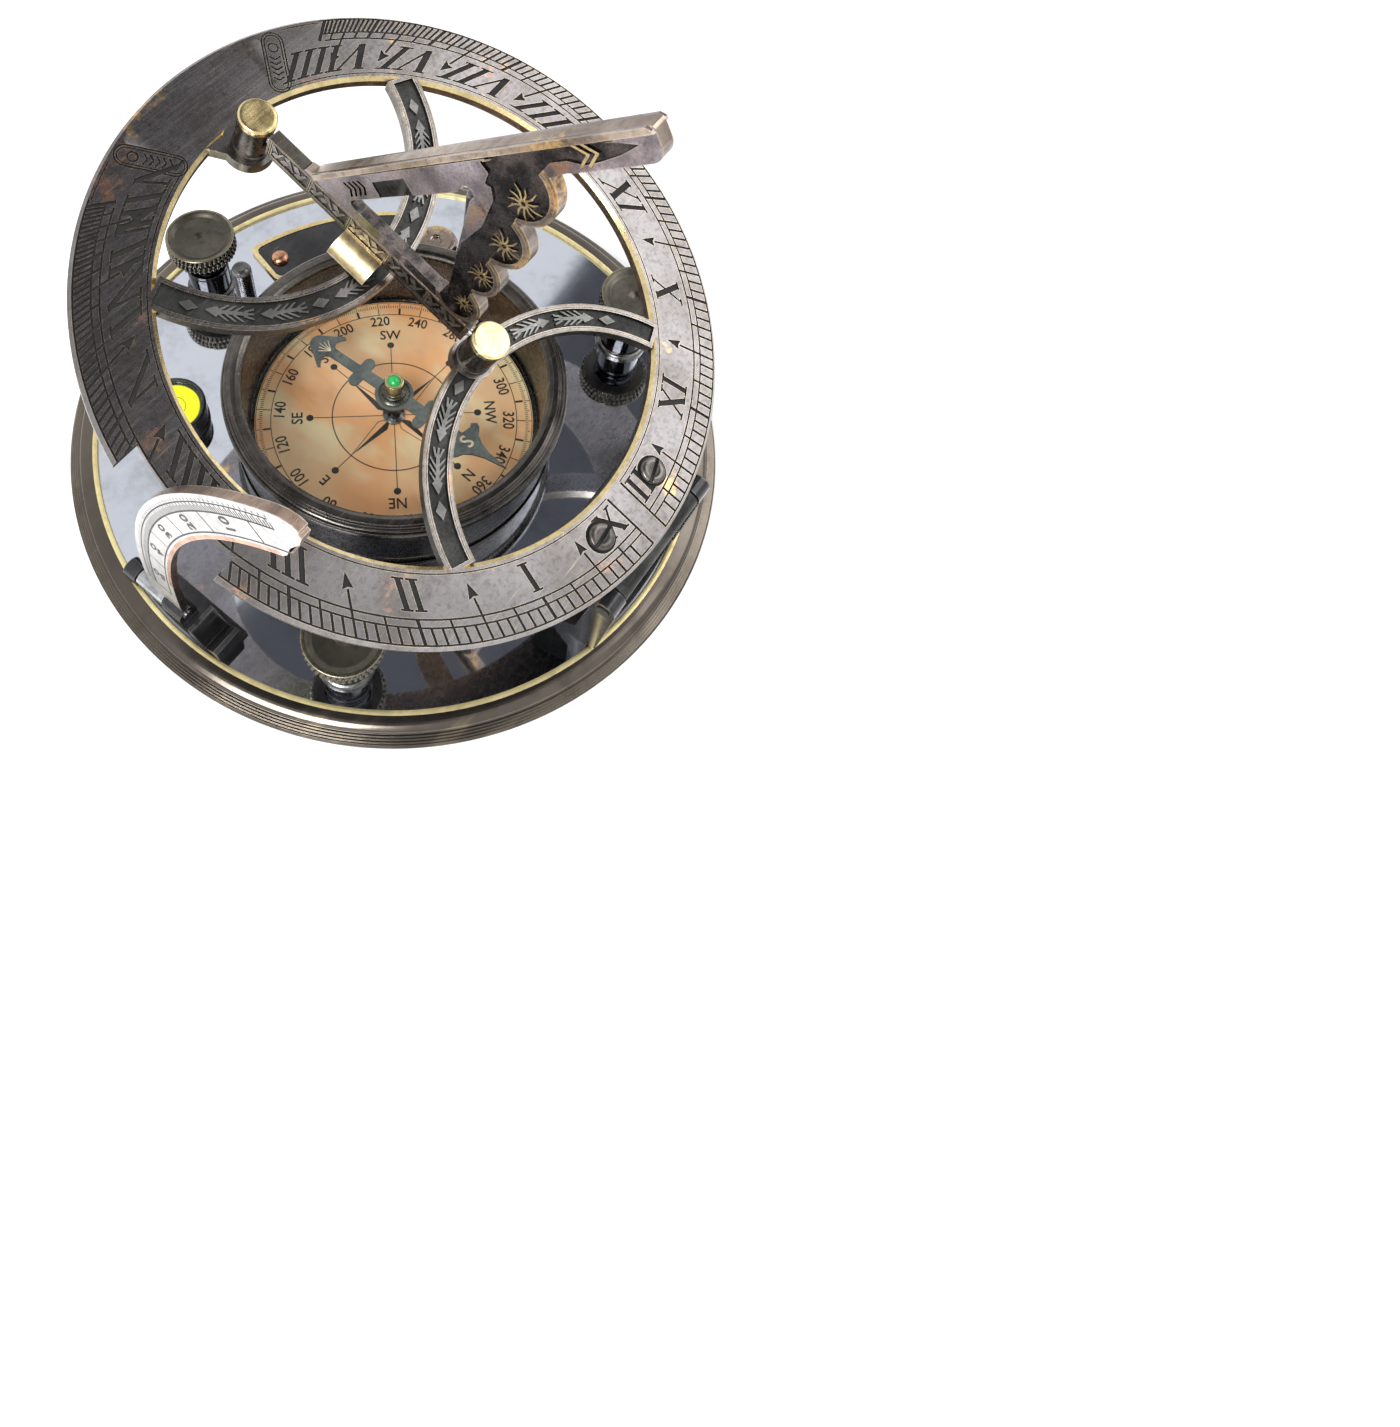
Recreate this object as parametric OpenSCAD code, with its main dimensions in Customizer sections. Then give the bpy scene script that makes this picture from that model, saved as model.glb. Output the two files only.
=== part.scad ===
// Universal equinoctial ring sundial on a round base with an inset compass.
// Millimetres. Z is up, the feet stand on z = 0, the axis of the base is x = y = 0.
// The noon end of the hour ring, with its hinge, points to -Y. The latitude arc is on the -X side.

/* [Base] */
// Outer radius of the round base
base_r = 63.5; // [62:0.5:70]
// Space between the ground and the underside of the base, taken up by the feet
foot_gap = 3; // [2.8:0.1:5]
// Thickness of the polished floor plate
floor_t = 2.6; // [2.2:0.1:4]
// Width of the moulded rim
rim_w = 5.85; // [5:0.05:7]
// Height of the rim above the polished floor
rim_h = 0.65; // [0.4:0.05:1.5]
// Width of the rounded band of the rim
rim_band_w = 3.75; // [3:0.05:4.2]
// Height of each fine step outside the rounded band
rim_step_h = 0.45; // [0.2:0.05:0.6]
// Width of the inner fine step
rim_step_w = 0.8; // [0.4:0.1:1]

/* [Compass] */
// Outer radius of the bowl wall
bowl_r = 31; // [30:0.25:32]
// Wall thickness of the bowl
bowl_wall = 2.6; // [2:0.1:3]
// Thickness of the floor of the bowl
bowl_floor_t = 1; // [0.8:0.1:1.2]
// How deep the bowl is let into the base
bowl_seat_depth = 1.8; // [1:0.1:1.9]
// Height of the bowl from its underside to its lip
bowl_h = 16.2; // [16:0.1:18]
// How far the lip stands out from the wall
lip_w = 1; // [0.5:0.1:1.5]
// Height of the lip
lip_h = 1.6; // [1.2:0.1:3]
// Thickness of the glass
glass_t = 0.6; // [0.5:0.1:0.7]
// Height of the bezel above the lip
bezel_h = 1; // [0.8:0.1:2]
// Width of the bezel's overhang over the glass
bezel_lap = 1.1; // [0.8:0.1:1.5]
// Thickness of the compass card
card_t = 0.5; // [0.3:0.1:0.8]
// Radius of the three screws' circle that holds the bowl
bowl_screw_ring_r = 20; // [10:1:24]

/* [Needle] */
// Height of the underside of the needle above the card
needle_lift = 8; // [7:0.1:8]
// Thickness of the needle
needle_t = 0.5; // [0.3:0.05:0.8]
// Distance from the pivot to the north tip
needle_north = 26; // [22:0.1:26.5]
// Distance from the pivot to the flared south end
needle_south = 20.4; // [16:0.1:24]
// Half width of the needle's hooks at both ends
needle_flare = 4.4; // [3.5:0.1:4.8]
// Half width of the needle's arms
needle_arm = 1; // [0.8:0.05:1.3]
// Radius of the needle's disc under the cap
needle_disc_r = 3.7; // [3:0.1:4]
// Angle of the needle at rest, from the noon line
needle_turn = 1.6; // [-20:0.1:20]
// Radius of the pivot pin
pivot_r = 0.8; // [0.6:0.05:0.9]
// Radius of the tall cap on the needle
hub_r = 1.65; // [1.5:0.05:2]
// Height of the green jewel above the cap
jewel_h = 0.8; // [0.5:0.1:1.2]
// Space between the jewel and the glass
jewel_gap = 0.4; // [0.3:0.05:1]

/* [Hour ring] */
// Outer radius of the hour ring
ring_r = 53.4; // [53:0.1:54]
// Width of the hour ring
ring_w = 12.34; // [11:0.1:13]
// Thickness of the hour ring and its straps
ring_t = 2; // [1.6:0.1:2.4]
// Bevel along the edges of the ring
ring_bevel = 0.6; // [0.2:0.1:0.8]
// Tilt of the ring at rest, set for the latitude
ring_tilt = 20.2; // [5:0.1:45]
// Distance from the outer edge of the ring to its hinge axis
hinge_lead = 0.6; // [0.4:0.1:1.5]
// Distance from the top face of the ring down to its hinge axis
hinge_drop = 4.2; // [4.1:0.1:5]
// Height of the hinge axis above the floor
hinge_rise = 17.95; // [17:0.05:20]
// Distance from the inner edge of the rim to the hinge axis
hinge_inset = 2.85; // [2.5:0.05:4]
// Distance from the ring centre to the centre of the noon strap's circle
strap_noon_offset = 41; // [39:0.5:42]
// Inner radius of the noon strap
strap_noon_r = 26.2; // [25:0.1:27]
// Width of the noon strap
strap_noon_w = 4.8; // [4:0.1:6]
// Distance from the ring centre to the centre of the midnight strap's circle
strap_night_offset = 40; // [39:0.5:42]
// Inner radius of the midnight strap
strap_night_r = 28; // [27:0.1:29]
// Width of the midnight strap
strap_night_w = 5.4; // [4:0.1:6]
// Depth of the channel along the straps
channel_depth = 0.5; // [0.2:0.1:0.8]
// Width of the raised border on each side of a strap
channel_border = 0.75; // [0.4:0.05:1]
// Radius of the tab that carries the midnight pillar
tab_r = 4.3; // [4:0.1:5]
// Distance from the ring's inner edge in to the centre of the tab
tab_inset = 3.46; // [2:0.02:4]
// Low end of the notch for the latitude arc, along the noon line
notch_low = -6; // [-8:0.5:-2]
// High end of the notch for the latitude arc, along the noon line
notch_high = 15; // [14.5:0.5:17]

/* [Gnomon] */
// Radius of the two pillars
pillar_r = 3.1; // [2.8:0.1:3.4]
// Height of the pillars under their caps
pillar_h = 6.9; // [6.5:0.1:8]
// Height of the bright pillar caps
cap_h = 1.05; // [0.6:0.05:1.4]
// Height of the gnomon's swing axis above the ring
bar_axis_h = 5; // [4.9:0.05:5.2]
// Height of the bar
bar_h = 4.4; // [4:0.1:4.6]
// Thickness of the bar
bar_t = 2.2; // [2.1:0.1:2.8]
// Thickness of the gnomon plate
plate_t = 2; // [1.6:0.1:2.2]
// Width of the shadow casting edge, across the plate
style_t = 3; // [2.2:0.1:3.4]
// Depth of the shadow casting edge rail
style_rail = 2.4; // [1.5:0.1:3]
// Distance along the bar from its noon end to the toe of the style
style_foot = 33.9; // [30:0.1:36]
// Angle of the style from the bar
style_angle = 59.2; // [54:0.1:61]
// Height of the style's tip above the ring
tip_h = 62.1; // [58:0.1:64]
// Width of the blade at the tip
blade_w = 4.4; // [3.8:0.1:4.8]
// Radius of the pins that carry the bar
swing_pin_r = 0.7; // [0.5:0.05:0.8]
// Length of the stop tab along the bar
tab_l = 7.6; // [6:0.1:9]
// Distance along the bar from its noon end to the stop tab
tab_start = 17.1; // [14:0.1:18]
// Outer radius of the stop tab's curve
tab_curve_r = 4; // [3.4:0.1:4.2]
// Thickness of the stop tab
tab_t = 1.4; // [1:0.1:1.6]

/* [Latitude arc] */
// Distance from the inner edge of the rim in to the arc's pin
arc_inset = 2.65; // [2.4:0.05:3]
// Height of the arc's pin above the floor
arc_rise = 3; // [2.9:0.05:3.5]
// Inward lean of the arc at rest
arc_lean = 3.5; // [1:0.1:3.6]
// Distance from the base's axis to the arc's centre, toward noon
arc_centre_y = 77.8; // [77:0.1:78.5]
// Height of the arc's centre above its pin
arc_centre_h = 5.7; // [5:0.1:6.5]
// Inner radius of the arc
arc_r = 79.4; // [79:0.1:80]
// Width of the arc's blade
arc_w = 7.5; // [6:0.1:8]
// Thickness of the arc's blade
arc_t = 1.8; // [1.2:0.1:2]
// Angle of the arc's blade from its foot to where its point begins
arc_span = 50; // [40:1:54]
// Outer radius of the arc's sleeve and of its knuckles
sleeve_r = 1.9; // [1.7:0.05:2.1]
// Length of the arc's sleeve
sleeve_l = 6.3; // [5.5:0.1:6.4]
// Where the sleeve begins, toward midnight
sleeve_y = 6; // [5.5:0.1:6.5]
// Gap between the notch's wall and the blade at its nearest
notch_gap = 0.3; // [0.2:0.1:0.6]

/* [Levelling screws] */
// Distance from the inner edge of the rim in to the levelling screws
knob_inset = 7.65; // [7.2:0.05:8]
// Radius of the knobs
knob_r = 7; // [6:0.1:7.2]
// Height of the knobs
knob_h = 4; // [3:0.1:4.2]
// Height of the top of the knobs above the floor
knob_top = 15.9; // [15:0.1:16.4]
// Number of beads round each knob
knob_beads = 28; // [20:1:36]
// Radius of the threaded rods
rod_r = 2.5; // [2:0.1:2.6]
// Radius of the bushes and of the necks under the knobs
bush_r = 4.3; // [3.8:0.1:4.4]
// Height of the bushes above the floor
bush_h = 7.4; // [6:0.1:7.5]
// Radius of the feet
foot_r = 5; // [4:0.1:6]
// Thickness of the feet
foot_t = 1.5; // [1.2:0.05:1.55]

/* [Fittings] */
// Width of the hinge leaf under the ring
leaf_w = 22; // [20:0.5:24]
// Thickness of the hinge leaf
leaf_t = 1.2; // [1:0.1:1.4]
// Thickness of each cheek of the ring's bracket
cheek_t = 3.4; // [2.5:0.1:4]
// Radius of the ring's hinge barrel
barrel_r = 1.9; // [1.7:0.05:1.9]
// Radius of the ring's hinge pin
hinge_pin_r = 1.2; // [0.9:0.05:1.3]
// Radius of the two rest posts
post_r = 1.45; // [1.2:0.05:1.8]
// Radius of the bubble level
level_r = 6.2; // [5.6:0.1:6.6]
// Height of the bubble level above the floor
level_h = 6; // [5:0.1:8]
// Distance from the inner edge of the rim in to the bare plate
plate_inset = 6.15; // [5:0.05:8]
// Width of the bare plate
plate_w = 11.5; // [9:0.1:12]
// Thickness of the bare plate
nameplate_t = 0.8; // [0.5:0.1:1.5]
// Radius of the round stud on the floor
stud_r = 4.6; // [3.5:0.1:4.8]
// Height of the round stud on the floor
stud_h = 2.6; // [1.5:0.1:4]

/* [Fits] */
// Radial clearance of a turning fit
run_fit = 0.05; // [0.02:0.01:0.09]
// Radial clearance of a pressed or screwed fit
seat_fit = 0.03; // [0.02:0.01:0.06]
// Gap between parts that move past each other
gap = 0.3; // [0.2:0.05:0.4]

/* [Hidden] */

// Colours
bronze = [0.36, 0.32, 0.27];
dark_bronze = [0.2, 0.18, 0.16];
brass = [0.85, 0.72, 0.4];
copper = [0.85, 0.5, 0.32];
silver = [0.86, 0.85, 0.84];
steel = [0.6, 0.62, 0.66];
blued = [0.32, 0.38, 0.48];
black = [0.08, 0.08, 0.09];

// A little extra so that cuts run past the faces they cut
over = 1;
fine = 120;
small = 48;

// Base
floor_z = foot_gap + floor_t;
rim_in_r = base_r - rim_w;
rim_band_r = rim_in_r + rim_band_w;
rim_step_z = foot_gap + floor_t + rim_h - 1.35;
edge_bevel = 0.3;

// Compass
bowl_in_r = bowl_r - bowl_wall;
bowl_z = floor_z - bowl_seat_depth;
bowl_top_z = bowl_z + bowl_h;
card_z = bowl_z + bowl_floor_t;
card_top_z = card_z + card_t;
card_r = bowl_in_r - 0.9;
glass_r = bowl_in_r + 0.9;
glass_z = bowl_top_z - glass_t - 0.1;
bezel_in_r = glass_r - bezel_lap;
bezel_out_r = bowl_r + lip_w - 0.6;
bowl_screw_r = 0.9;
bowl_screw_head_r = 1.6;

// Needle
needle_z = card_top_z + needle_lift;
needle_top_z = needle_z + needle_t;
hub_spigot_r = pivot_r + 0.4;
hub_top_z = glass_z - jewel_gap - jewel_h;
jewel_r = hub_r - 0.45;
jewel_sink = 0.55;
needle_heading = -90 + needle_turn;

// Hour ring
ring_in_r = ring_r - ring_w;
hinge_y = hinge_inset - rim_in_r;
hinge_z = floor_z + hinge_rise;
ring_reach = ring_r + hinge_lead;
strap_noon_mid = strap_noon_r + strap_noon_w / 2;
tab_y = ring_in_r - tab_inset;
pillar_noon_y = strap_noon_mid - strap_noon_offset + 1;
pillar_night_y = tab_y - 0.35;
leaf_screw_x = 7.5;
leaf_screw_y = -(ring_in_r + 4.24);
leaf_screw_r = 1.2;
leaf_screw_head_r = 2.25;
leaf_screw_head_h = 0.9;
leaf_front_y = -ring_in_r;
leaf_back_y = -(ring_r - 1.4);
stub_r = 1.3;

// Gnomon
bar_start_y = pillar_noon_y + pillar_r + gap;
bar_end_y = pillar_night_y - pillar_r - gap;
bar_top_h = bar_axis_h + bar_h / 2;
swing_pin_l = 2.8;
tenon_t = 0.8;
tenon_h = 1.2;
style_toe_y = bar_start_y + style_foot;
style_run = (tip_h - bar_top_h) / tan(style_angle);
style_tip_y = style_toe_y - style_run;

// Latitude arc
arc_x = arc_inset - rim_in_r;
arc_z = floor_z + arc_rise;
arc_out_r = arc_r + arc_w;
arc_pin_r = 0.9;
arc_reach = arc_centre_h + (arc_r + arc_w) * sin(arc_span + 3);
arc_near_x = arc_x + arc_reach * sin(arc_lean) + arc_t / 2;
notch_r = -arc_near_x - notch_gap;
knuckle_gap = 0.3;
knuckle_noon_l = 4.5;
knuckle_night_l = 2.8;
arc_plate_t = 1.2;
arc_plate_y = -8.2;
vee_y = [-8.2, -7.4, -4.8, -2.2, -1.4];
vee_h = [4.4, 4.8, 1.4, 5.2, 4.8];
vee_x = [-2.2, 3.4];
arc_screw_places = [[arc_x + 0.6, -6.9], [arc_x + 0.6, -2.7]];
arc_screw_r = 0.8;
arc_screw_depth = 1.9;

// Levelling screws
knob_ring_r = rim_in_r - knob_inset;
knob_angles = [90, -30, -150];
knob_top_z = floor_z + knob_top;
knob_z = knob_top_z - knob_h;
neck_h = 2.7;
bush_spigot_r = bush_r - 0.8;
rod_tip_r = 1.5;
rod_head_r = rod_r - 0.6;

// Bracket
leaf_gap = gap;
cheek_x = leaf_w / 2 + leaf_gap;
bracket_foot_t = 2;
bracket_foot_y = hinge_y + 6;
bracket_screw_x = 6;
bracket_screw_y = hinge_y + 3.2;
bracket_screw_r = 1.1;
foot_edge_r = rim_in_r - 0.35;

// Rest posts stand just under the ring when it lies flat
flat_ring_z = hinge_z + hinge_drop - ring_t;
post_top_z = flat_ring_z - gap;
post_places = [[-2.4, tab_y - 1.9], [41.1, 12.6]];
post_stub_r = 0.9;
stud_place = [38.3, 19.5];
level_place = [-27.8, 31.8];
nameplate_from = 35;
nameplate_to = 77;
rivet_angles = [39.5, 72];
plate_out_r = rim_in_r - plate_inset;
plate_in_r = plate_out_r - plate_w;
rivet_ring_r = plate_in_r + 5.5;

// Points along a circular arc
function arc_points(c, r, a0, a1, n) =
    [for (i = [0:n]) [c[0] + r * cos(a0 + (a1 - a0) * i / n), c[1] + r * sin(a0 + (a1 - a0) * i / n)]];

// Places children in the frame of the hour ring: origin at its centre, on its top face
module on_ring() {
    translate([0, hinge_y, hinge_z])
        rotate([ring_tilt, 0, 0])
            translate([0, ring_reach, hinge_drop])
                children();
}

// Places children in the frame of the latitude arc: z runs up the leaning blade from its pin
module on_arc() {
    translate([arc_x, 0, arc_z])
        rotate([0, arc_lean, 0])
            children();
}

// Stands a flat outline drawn in y and z up, centred on x = 0
module standing(thickness) {
    translate([-thickness / 2, 0, 0])
        rotate([90, 0, 90])
            linear_extrude(thickness)
                children();
}

// A rod along y
module rod_y(r, y0, y1, sides = small) {
    translate([0, y1, 0])
        rotate([90, 0, 0])
            cylinder(r = r, h = y1 - y0, $fn = sides);
}

// A rod along x
module rod_x(r, x0, x1, sides = small) {
    translate([x0, 0, 0])
        rotate([0, 90, 0])
            cylinder(r = r, h = x1 - x0, $fn = sides);
}

// A slotted screw head with its shank below
module slotted_screw(head_r, head_h, shank_r, shank_l) {
    difference() {
        union() {
            cylinder(r = head_r, h = head_h, $fn = small);
            translate([0, 0, -shank_l])
                cylinder(r = shank_r, h = shank_l + head_h / 2, $fn = small);
        }
        translate([-head_r - over, -0.25, head_h * 0.45])
            cube([2 * (head_r + over), 0.5, head_h]);
    }
}

module base_plate() {
    band_h = floor_z + rim_h - rim_step_z;
    color(bronze)
        difference() {
            rotate_extrude($fn = fine)
                polygon(concat(
                    [[0, foot_gap], [base_r - edge_bevel, foot_gap], [base_r, foot_gap + edge_bevel],
                     [base_r, rim_step_z - 2 * rim_step_h], [rim_band_r + rim_step_w, rim_step_z - 2 * rim_step_h],
                     [rim_band_r + rim_step_w, rim_step_z - rim_step_h], [rim_band_r, rim_step_z - rim_step_h]],
                    [for (a = [0:15:75]) [rim_in_r + 0.5 + (rim_band_w - 0.5) * cos(a), rim_step_z + band_h * sin(a)]],
                    [[rim_in_r + 0.5, floor_z + rim_h], [rim_in_r, floor_z + rim_h - 0.1],
                     [rim_in_r, floor_z], [0, floor_z]]));
            translate([0, 0, bowl_z])
                cylinder(r = bowl_r + run_fit, h = bowl_seat_depth + over, $fn = fine);
            for (a = knob_angles)
                rotate(a)
                    translate([knob_ring_r, 0, foot_gap - over])
                        cylinder(r = bush_spigot_r + seat_fit, h = floor_t + 2 * over, $fn = small);
            for (a = [30:120:270])
                rotate(a)
                    translate([bowl_screw_ring_r, 0, foot_gap - over]) {
                        cylinder(r = bowl_screw_r + seat_fit, h = floor_t + 2 * over, $fn = small);
                        cylinder(r = bowl_screw_head_r + seat_fit, h = over + 0.5, $fn = small);
                    }
            for (p = arc_screw_places)
                translate([p[0], p[1], foot_gap - over]) {
                    cylinder(r = arc_screw_r + seat_fit, h = floor_t + 2 * over, $fn = small);
                    cylinder(r = bowl_screw_head_r + seat_fit, h = over + 0.5, $fn = small);
                }
            for (p = post_places)
                translate([p[0], p[1], floor_z - 1.7])
                    cylinder(r = post_stub_r + seat_fit, h = 1.7 + over, $fn = small);
            for (s = [-1, 1])
                translate([s * bracket_screw_x, bracket_screw_y, floor_z - 1.8])
                    cylinder(r = bracket_screw_r + seat_fit, h = 1.8 + over, $fn = small);
        }
}

module compass_bowl() {
    color(bronze)
        difference() {
            rotate_extrude($fn = fine)
                polygon([
                    [0, bowl_z], [bowl_r, bowl_z], [bowl_r, bowl_top_z - lip_h - 0.6],
                    [bowl_r + lip_w, bowl_top_z - lip_h], [bowl_r + lip_w, bowl_top_z - 0.3],
                    [bowl_r + lip_w - 0.3, bowl_top_z], [glass_r + 0.15, bowl_top_z],
                    [glass_r + 0.15, glass_z], [bowl_in_r, glass_z],
                    [bowl_in_r, card_z], [0, card_z]]);
            translate([0, 0, bowl_z - over])
                cylinder(r = pivot_r + seat_fit, h = bowl_floor_t + 2 * over, $fn = small);
            for (a = [30:120:270])
                rotate(a)
                    translate([bowl_screw_ring_r, 0, bowl_z - over])
                        cylinder(r = bowl_screw_r + seat_fit, h = bowl_floor_t + over - 0.1, $fn = small);
        }
}

module bowl_screws() {
    color(steel)
        for (a = [30:120:270])
            rotate(a)
                translate([bowl_screw_ring_r, 0, foot_gap + 0.5])
                    mirror([0, 0, 1])
                        slotted_screw(bowl_screw_head_r, 0.45, bowl_screw_r, bowl_z - foot_gap + bowl_floor_t - 0.8);
}

module compass_bezel() {
    color(bronze)
        rotate_extrude($fn = fine)
            translate([0, bowl_top_z])
                polygon([
                    [bezel_in_r, 0], [bezel_out_r, 0], [bezel_out_r, bezel_h * 0.4],
                    [bezel_out_r - 0.5, bezel_h * 0.6], [bezel_out_r - 1, bezel_h * 0.6],
                    [bezel_out_r - 1.3, bezel_h], [bezel_in_r + 0.8, bezel_h],
                    [bezel_in_r, bezel_h * 0.4]]);
}

module compass_glass() {
    color([0.85, 0.92, 0.95, 0.4])
        translate([0, 0, glass_z])
            cylinder(r = glass_r, h = glass_t, $fn = fine);
}

module compass_card() {
    color(copper)
        translate([0, 0, card_z])
            difference() {
                cylinder(r = card_r, h = card_t, $fn = fine);
                translate([0, 0, -over])
                    cylinder(r = pivot_r + run_fit, h = card_t + 2 * over, $fn = small);
            }
}

module needle_pivot() {
    shaft_top = hub_top_z - jewel_sink - 0.2;
    point_h = 1;
    color(brass)
        rotate_extrude($fn = small)
            polygon([
                [0, bowl_z + 0.1], [pivot_r, bowl_z + 0.1], [pivot_r, card_top_z],
                [2.2, card_top_z], [2.2, card_top_z + 0.5], [1.4, card_top_z + 0.9],
                [pivot_r, card_top_z + 1.6], [pivot_r, shaft_top - point_h], [0, shaft_top]]);
}

// Edge of the needle's barbed north end, from its neck to its point
function needle_barb() =
    let (n = needle_north / 26, f = needle_flare)
    [[15.2 * n, needle_arm], [15.6 * n, f * 0.64], [15.3 * n, f * 0.86], [16.2 * n, f],
     [17.3 * n, f * 0.86], [18 * n, f * 0.55], [19.4 * n, f * 0.33], [21.5 * n, f * 0.16], [needle_north, 0]];

// Edge of the needle's hooked south end, from its end to its neck
function needle_hook() =
    let (n = -needle_south / 20.4, f = needle_flare)
    [[-needle_south, 0], [20 * n, f * 0.27], [18.8 * n, f * 0.45], [17.4 * n, f * 0.66], [16.3 * n, f * 0.86],
     [14.9 * n, f * 0.9], [15.6 * n, f * 0.72], [15.9 * n, f * 0.5], [15.1 * n, needle_arm]];

// The same edge on the other side, in the other order
function mirrored(points) = [for (i = [len(points) - 2:-1:1]) [points[i][0], -points[i][1]]];

// Outline of the needle, pointing along x
module needle_outline() {
    bar_at = [7.35, -7.85];
    bar_half = 2.3;
    bar_r = 1.1;
    difference() {
        union() {
            polygon(concat(
                needle_hook(), needle_barb(), mirrored(concat([[0, 0]], needle_barb())),
                mirrored(concat(needle_hook(), [[0, 0]]))));
            circle(r = needle_disc_r, $fn = small);
            for (x = bar_at)
                translate([x - bar_r, -bar_half])
                    square([2 * bar_r, 2 * bar_half]);
            for (x = bar_at, t = [-1, 1])
                translate([x, t * bar_half])
                    circle(r = bar_r, $fn = small);
        }
        circle(r = hub_spigot_r + seat_fit, $fn = small);
    }
}

module compass_needle() {
    color(blued)
        translate([0, 0, needle_z])
            rotate(needle_heading)
                linear_extrude(needle_t)
                    needle_outline();
}

module needle_hub() {
    color(brass)
        rotate_extrude($fn = small)
            polygon([
                [pivot_r + run_fit, needle_z - 0.3], [hub_spigot_r, needle_z - 0.3],
                [hub_spigot_r, needle_top_z], [hub_r + 0.7, needle_top_z],
                [hub_r + 0.7, needle_top_z + 0.5], [hub_r, needle_top_z + 0.9],
                [hub_r, hub_top_z - 0.2], [hub_r - 0.2, hub_top_z],
                [jewel_r + seat_fit, hub_top_z], [jewel_r + seat_fit, hub_top_z - jewel_sink],
                [pivot_r + run_fit, hub_top_z - jewel_sink]]);
}

module hub_jewel() {
    color([0.1, 0.6, 0.25])
        rotate_extrude($fn = small)
            polygon(concat(
                [[0, hub_top_z - jewel_sink], [jewel_r, hub_top_z - jewel_sink]],
                [for (a = [0:18:90]) [jewel_r * cos(a), hub_top_z + jewel_h * sin(a)]]));
}

module level_housing() {
    color(black)
        translate([level_place[0], level_place[1], floor_z])
            rotate_extrude($fn = fine)
                polygon([
                    [0, 0], [level_r, 0], [level_r, level_h - 0.4], [level_r - 0.4, level_h],
                    [level_r - 0.8, level_h], [level_r - 0.8, level_h - 0.9],
                    [level_r - 1.15, level_h - 0.9], [level_r - 1.15, 0.8], [0, 0.8]]);
}

module level_vial() {
    color([0.85, 0.95, 0.1])
        translate([level_place[0], level_place[1], floor_z + 0.85])
            cylinder(r = level_r - 1.2, h = level_h - 1.8, $fn = fine);
}

module level_glass() {
    color([0.9, 0.95, 0.9, 0.4])
        translate([level_place[0], level_place[1], floor_z + level_h - 0.9])
            cylinder(r = level_r - 0.85, h = 0.7, $fn = fine);
}

// A sector of a flat ring between two radii and two angles
module ring_sector(r0, r1, a0, a1) {
    polygon(concat(
        arc_points([0, 0], r1, a0, a1, 12),
        arc_points([0, 0], r0, a1, a0, 12)));
}

module nameplate() {
    border = 1;
    border_angle = 1.3;
    color(brass)
        difference() {
            translate([0, 0, floor_z])
                linear_extrude(nameplate_t)
                    ring_sector(plate_in_r, plate_out_r, nameplate_from, nameplate_to);
            translate([0, 0, floor_z + nameplate_t - 0.2])
                linear_extrude(over)
                    ring_sector(plate_in_r + border, plate_out_r - border,
                                nameplate_from + border_angle, nameplate_to - border_angle);
            for (a = rivet_angles)
                rotate(a)
                    translate([rivet_ring_r, 0, floor_z - over])
                        cylinder(r = 0.9 + seat_fit, h = nameplate_t + 2 * over, $fn = small);
        }
}

module nameplate_rivets() {
    rivet_z = floor_z + nameplate_t - 0.2;
    color(copper)
        for (a = rivet_angles)
            rotate(a)
                translate([rivet_ring_r, 0, 0])
                    rotate_extrude($fn = small)
                        polygon(concat(
                            [[0, floor_z], [0.9, floor_z], [0.9, rivet_z]],
                            [for (t = [0:15:90]) [1.7 * cos(t), rivet_z + 1.2 * sin(t)]]));
}

module floor_stud() {
    color(silver)
        translate([stud_place[0], stud_place[1], floor_z])
            rotate_extrude($fn = fine)
                polygon([
                    [0, 0], [stud_r, 0], [stud_r, stud_h - 0.5], [stud_r - 0.5, stud_h],
                    [1.2, stud_h], [0.7, stud_h - 0.5], [0, stud_h - 0.5]]);
}

module rest_posts() {
    color(steel)
        for (p = post_places)
            translate([p[0], p[1], 0])
                rotate_extrude($fn = small)
                    polygon([
                        [0, floor_z - 1.6], [post_stub_r, floor_z - 1.6], [post_stub_r, floor_z],
                        [post_r + 0.6, floor_z], [post_r + 0.6, floor_z + 0.8], [post_r, floor_z + 1.2],
                        [post_r, post_top_z - 0.4], [post_r - 0.4, post_top_z], [0, post_top_z]]);
}

// Outline of one cheek of the ring's bracket, drawn in y and z
module cheek_outline() {
    ear_r = barrel_r + 0.2;
    translate([hinge_y, hinge_z])
        circle(r = ear_r, $fn = small);
    polygon([
        [hinge_y - ear_r, hinge_z], [hinge_y - ear_r, floor_z + rim_h + 1],
        [hinge_y - ear_r + 0.6, floor_z + rim_h + 0.4], [hinge_y - ear_r + 0.6, floor_z + over / 2],
        [bracket_foot_y, floor_z + over / 2], [bracket_foot_y, floor_z + bracket_foot_t],
        [hinge_y + ear_r + 0.6, floor_z + bracket_foot_t + 3], [hinge_y + ear_r, hinge_z]]);
}

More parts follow.
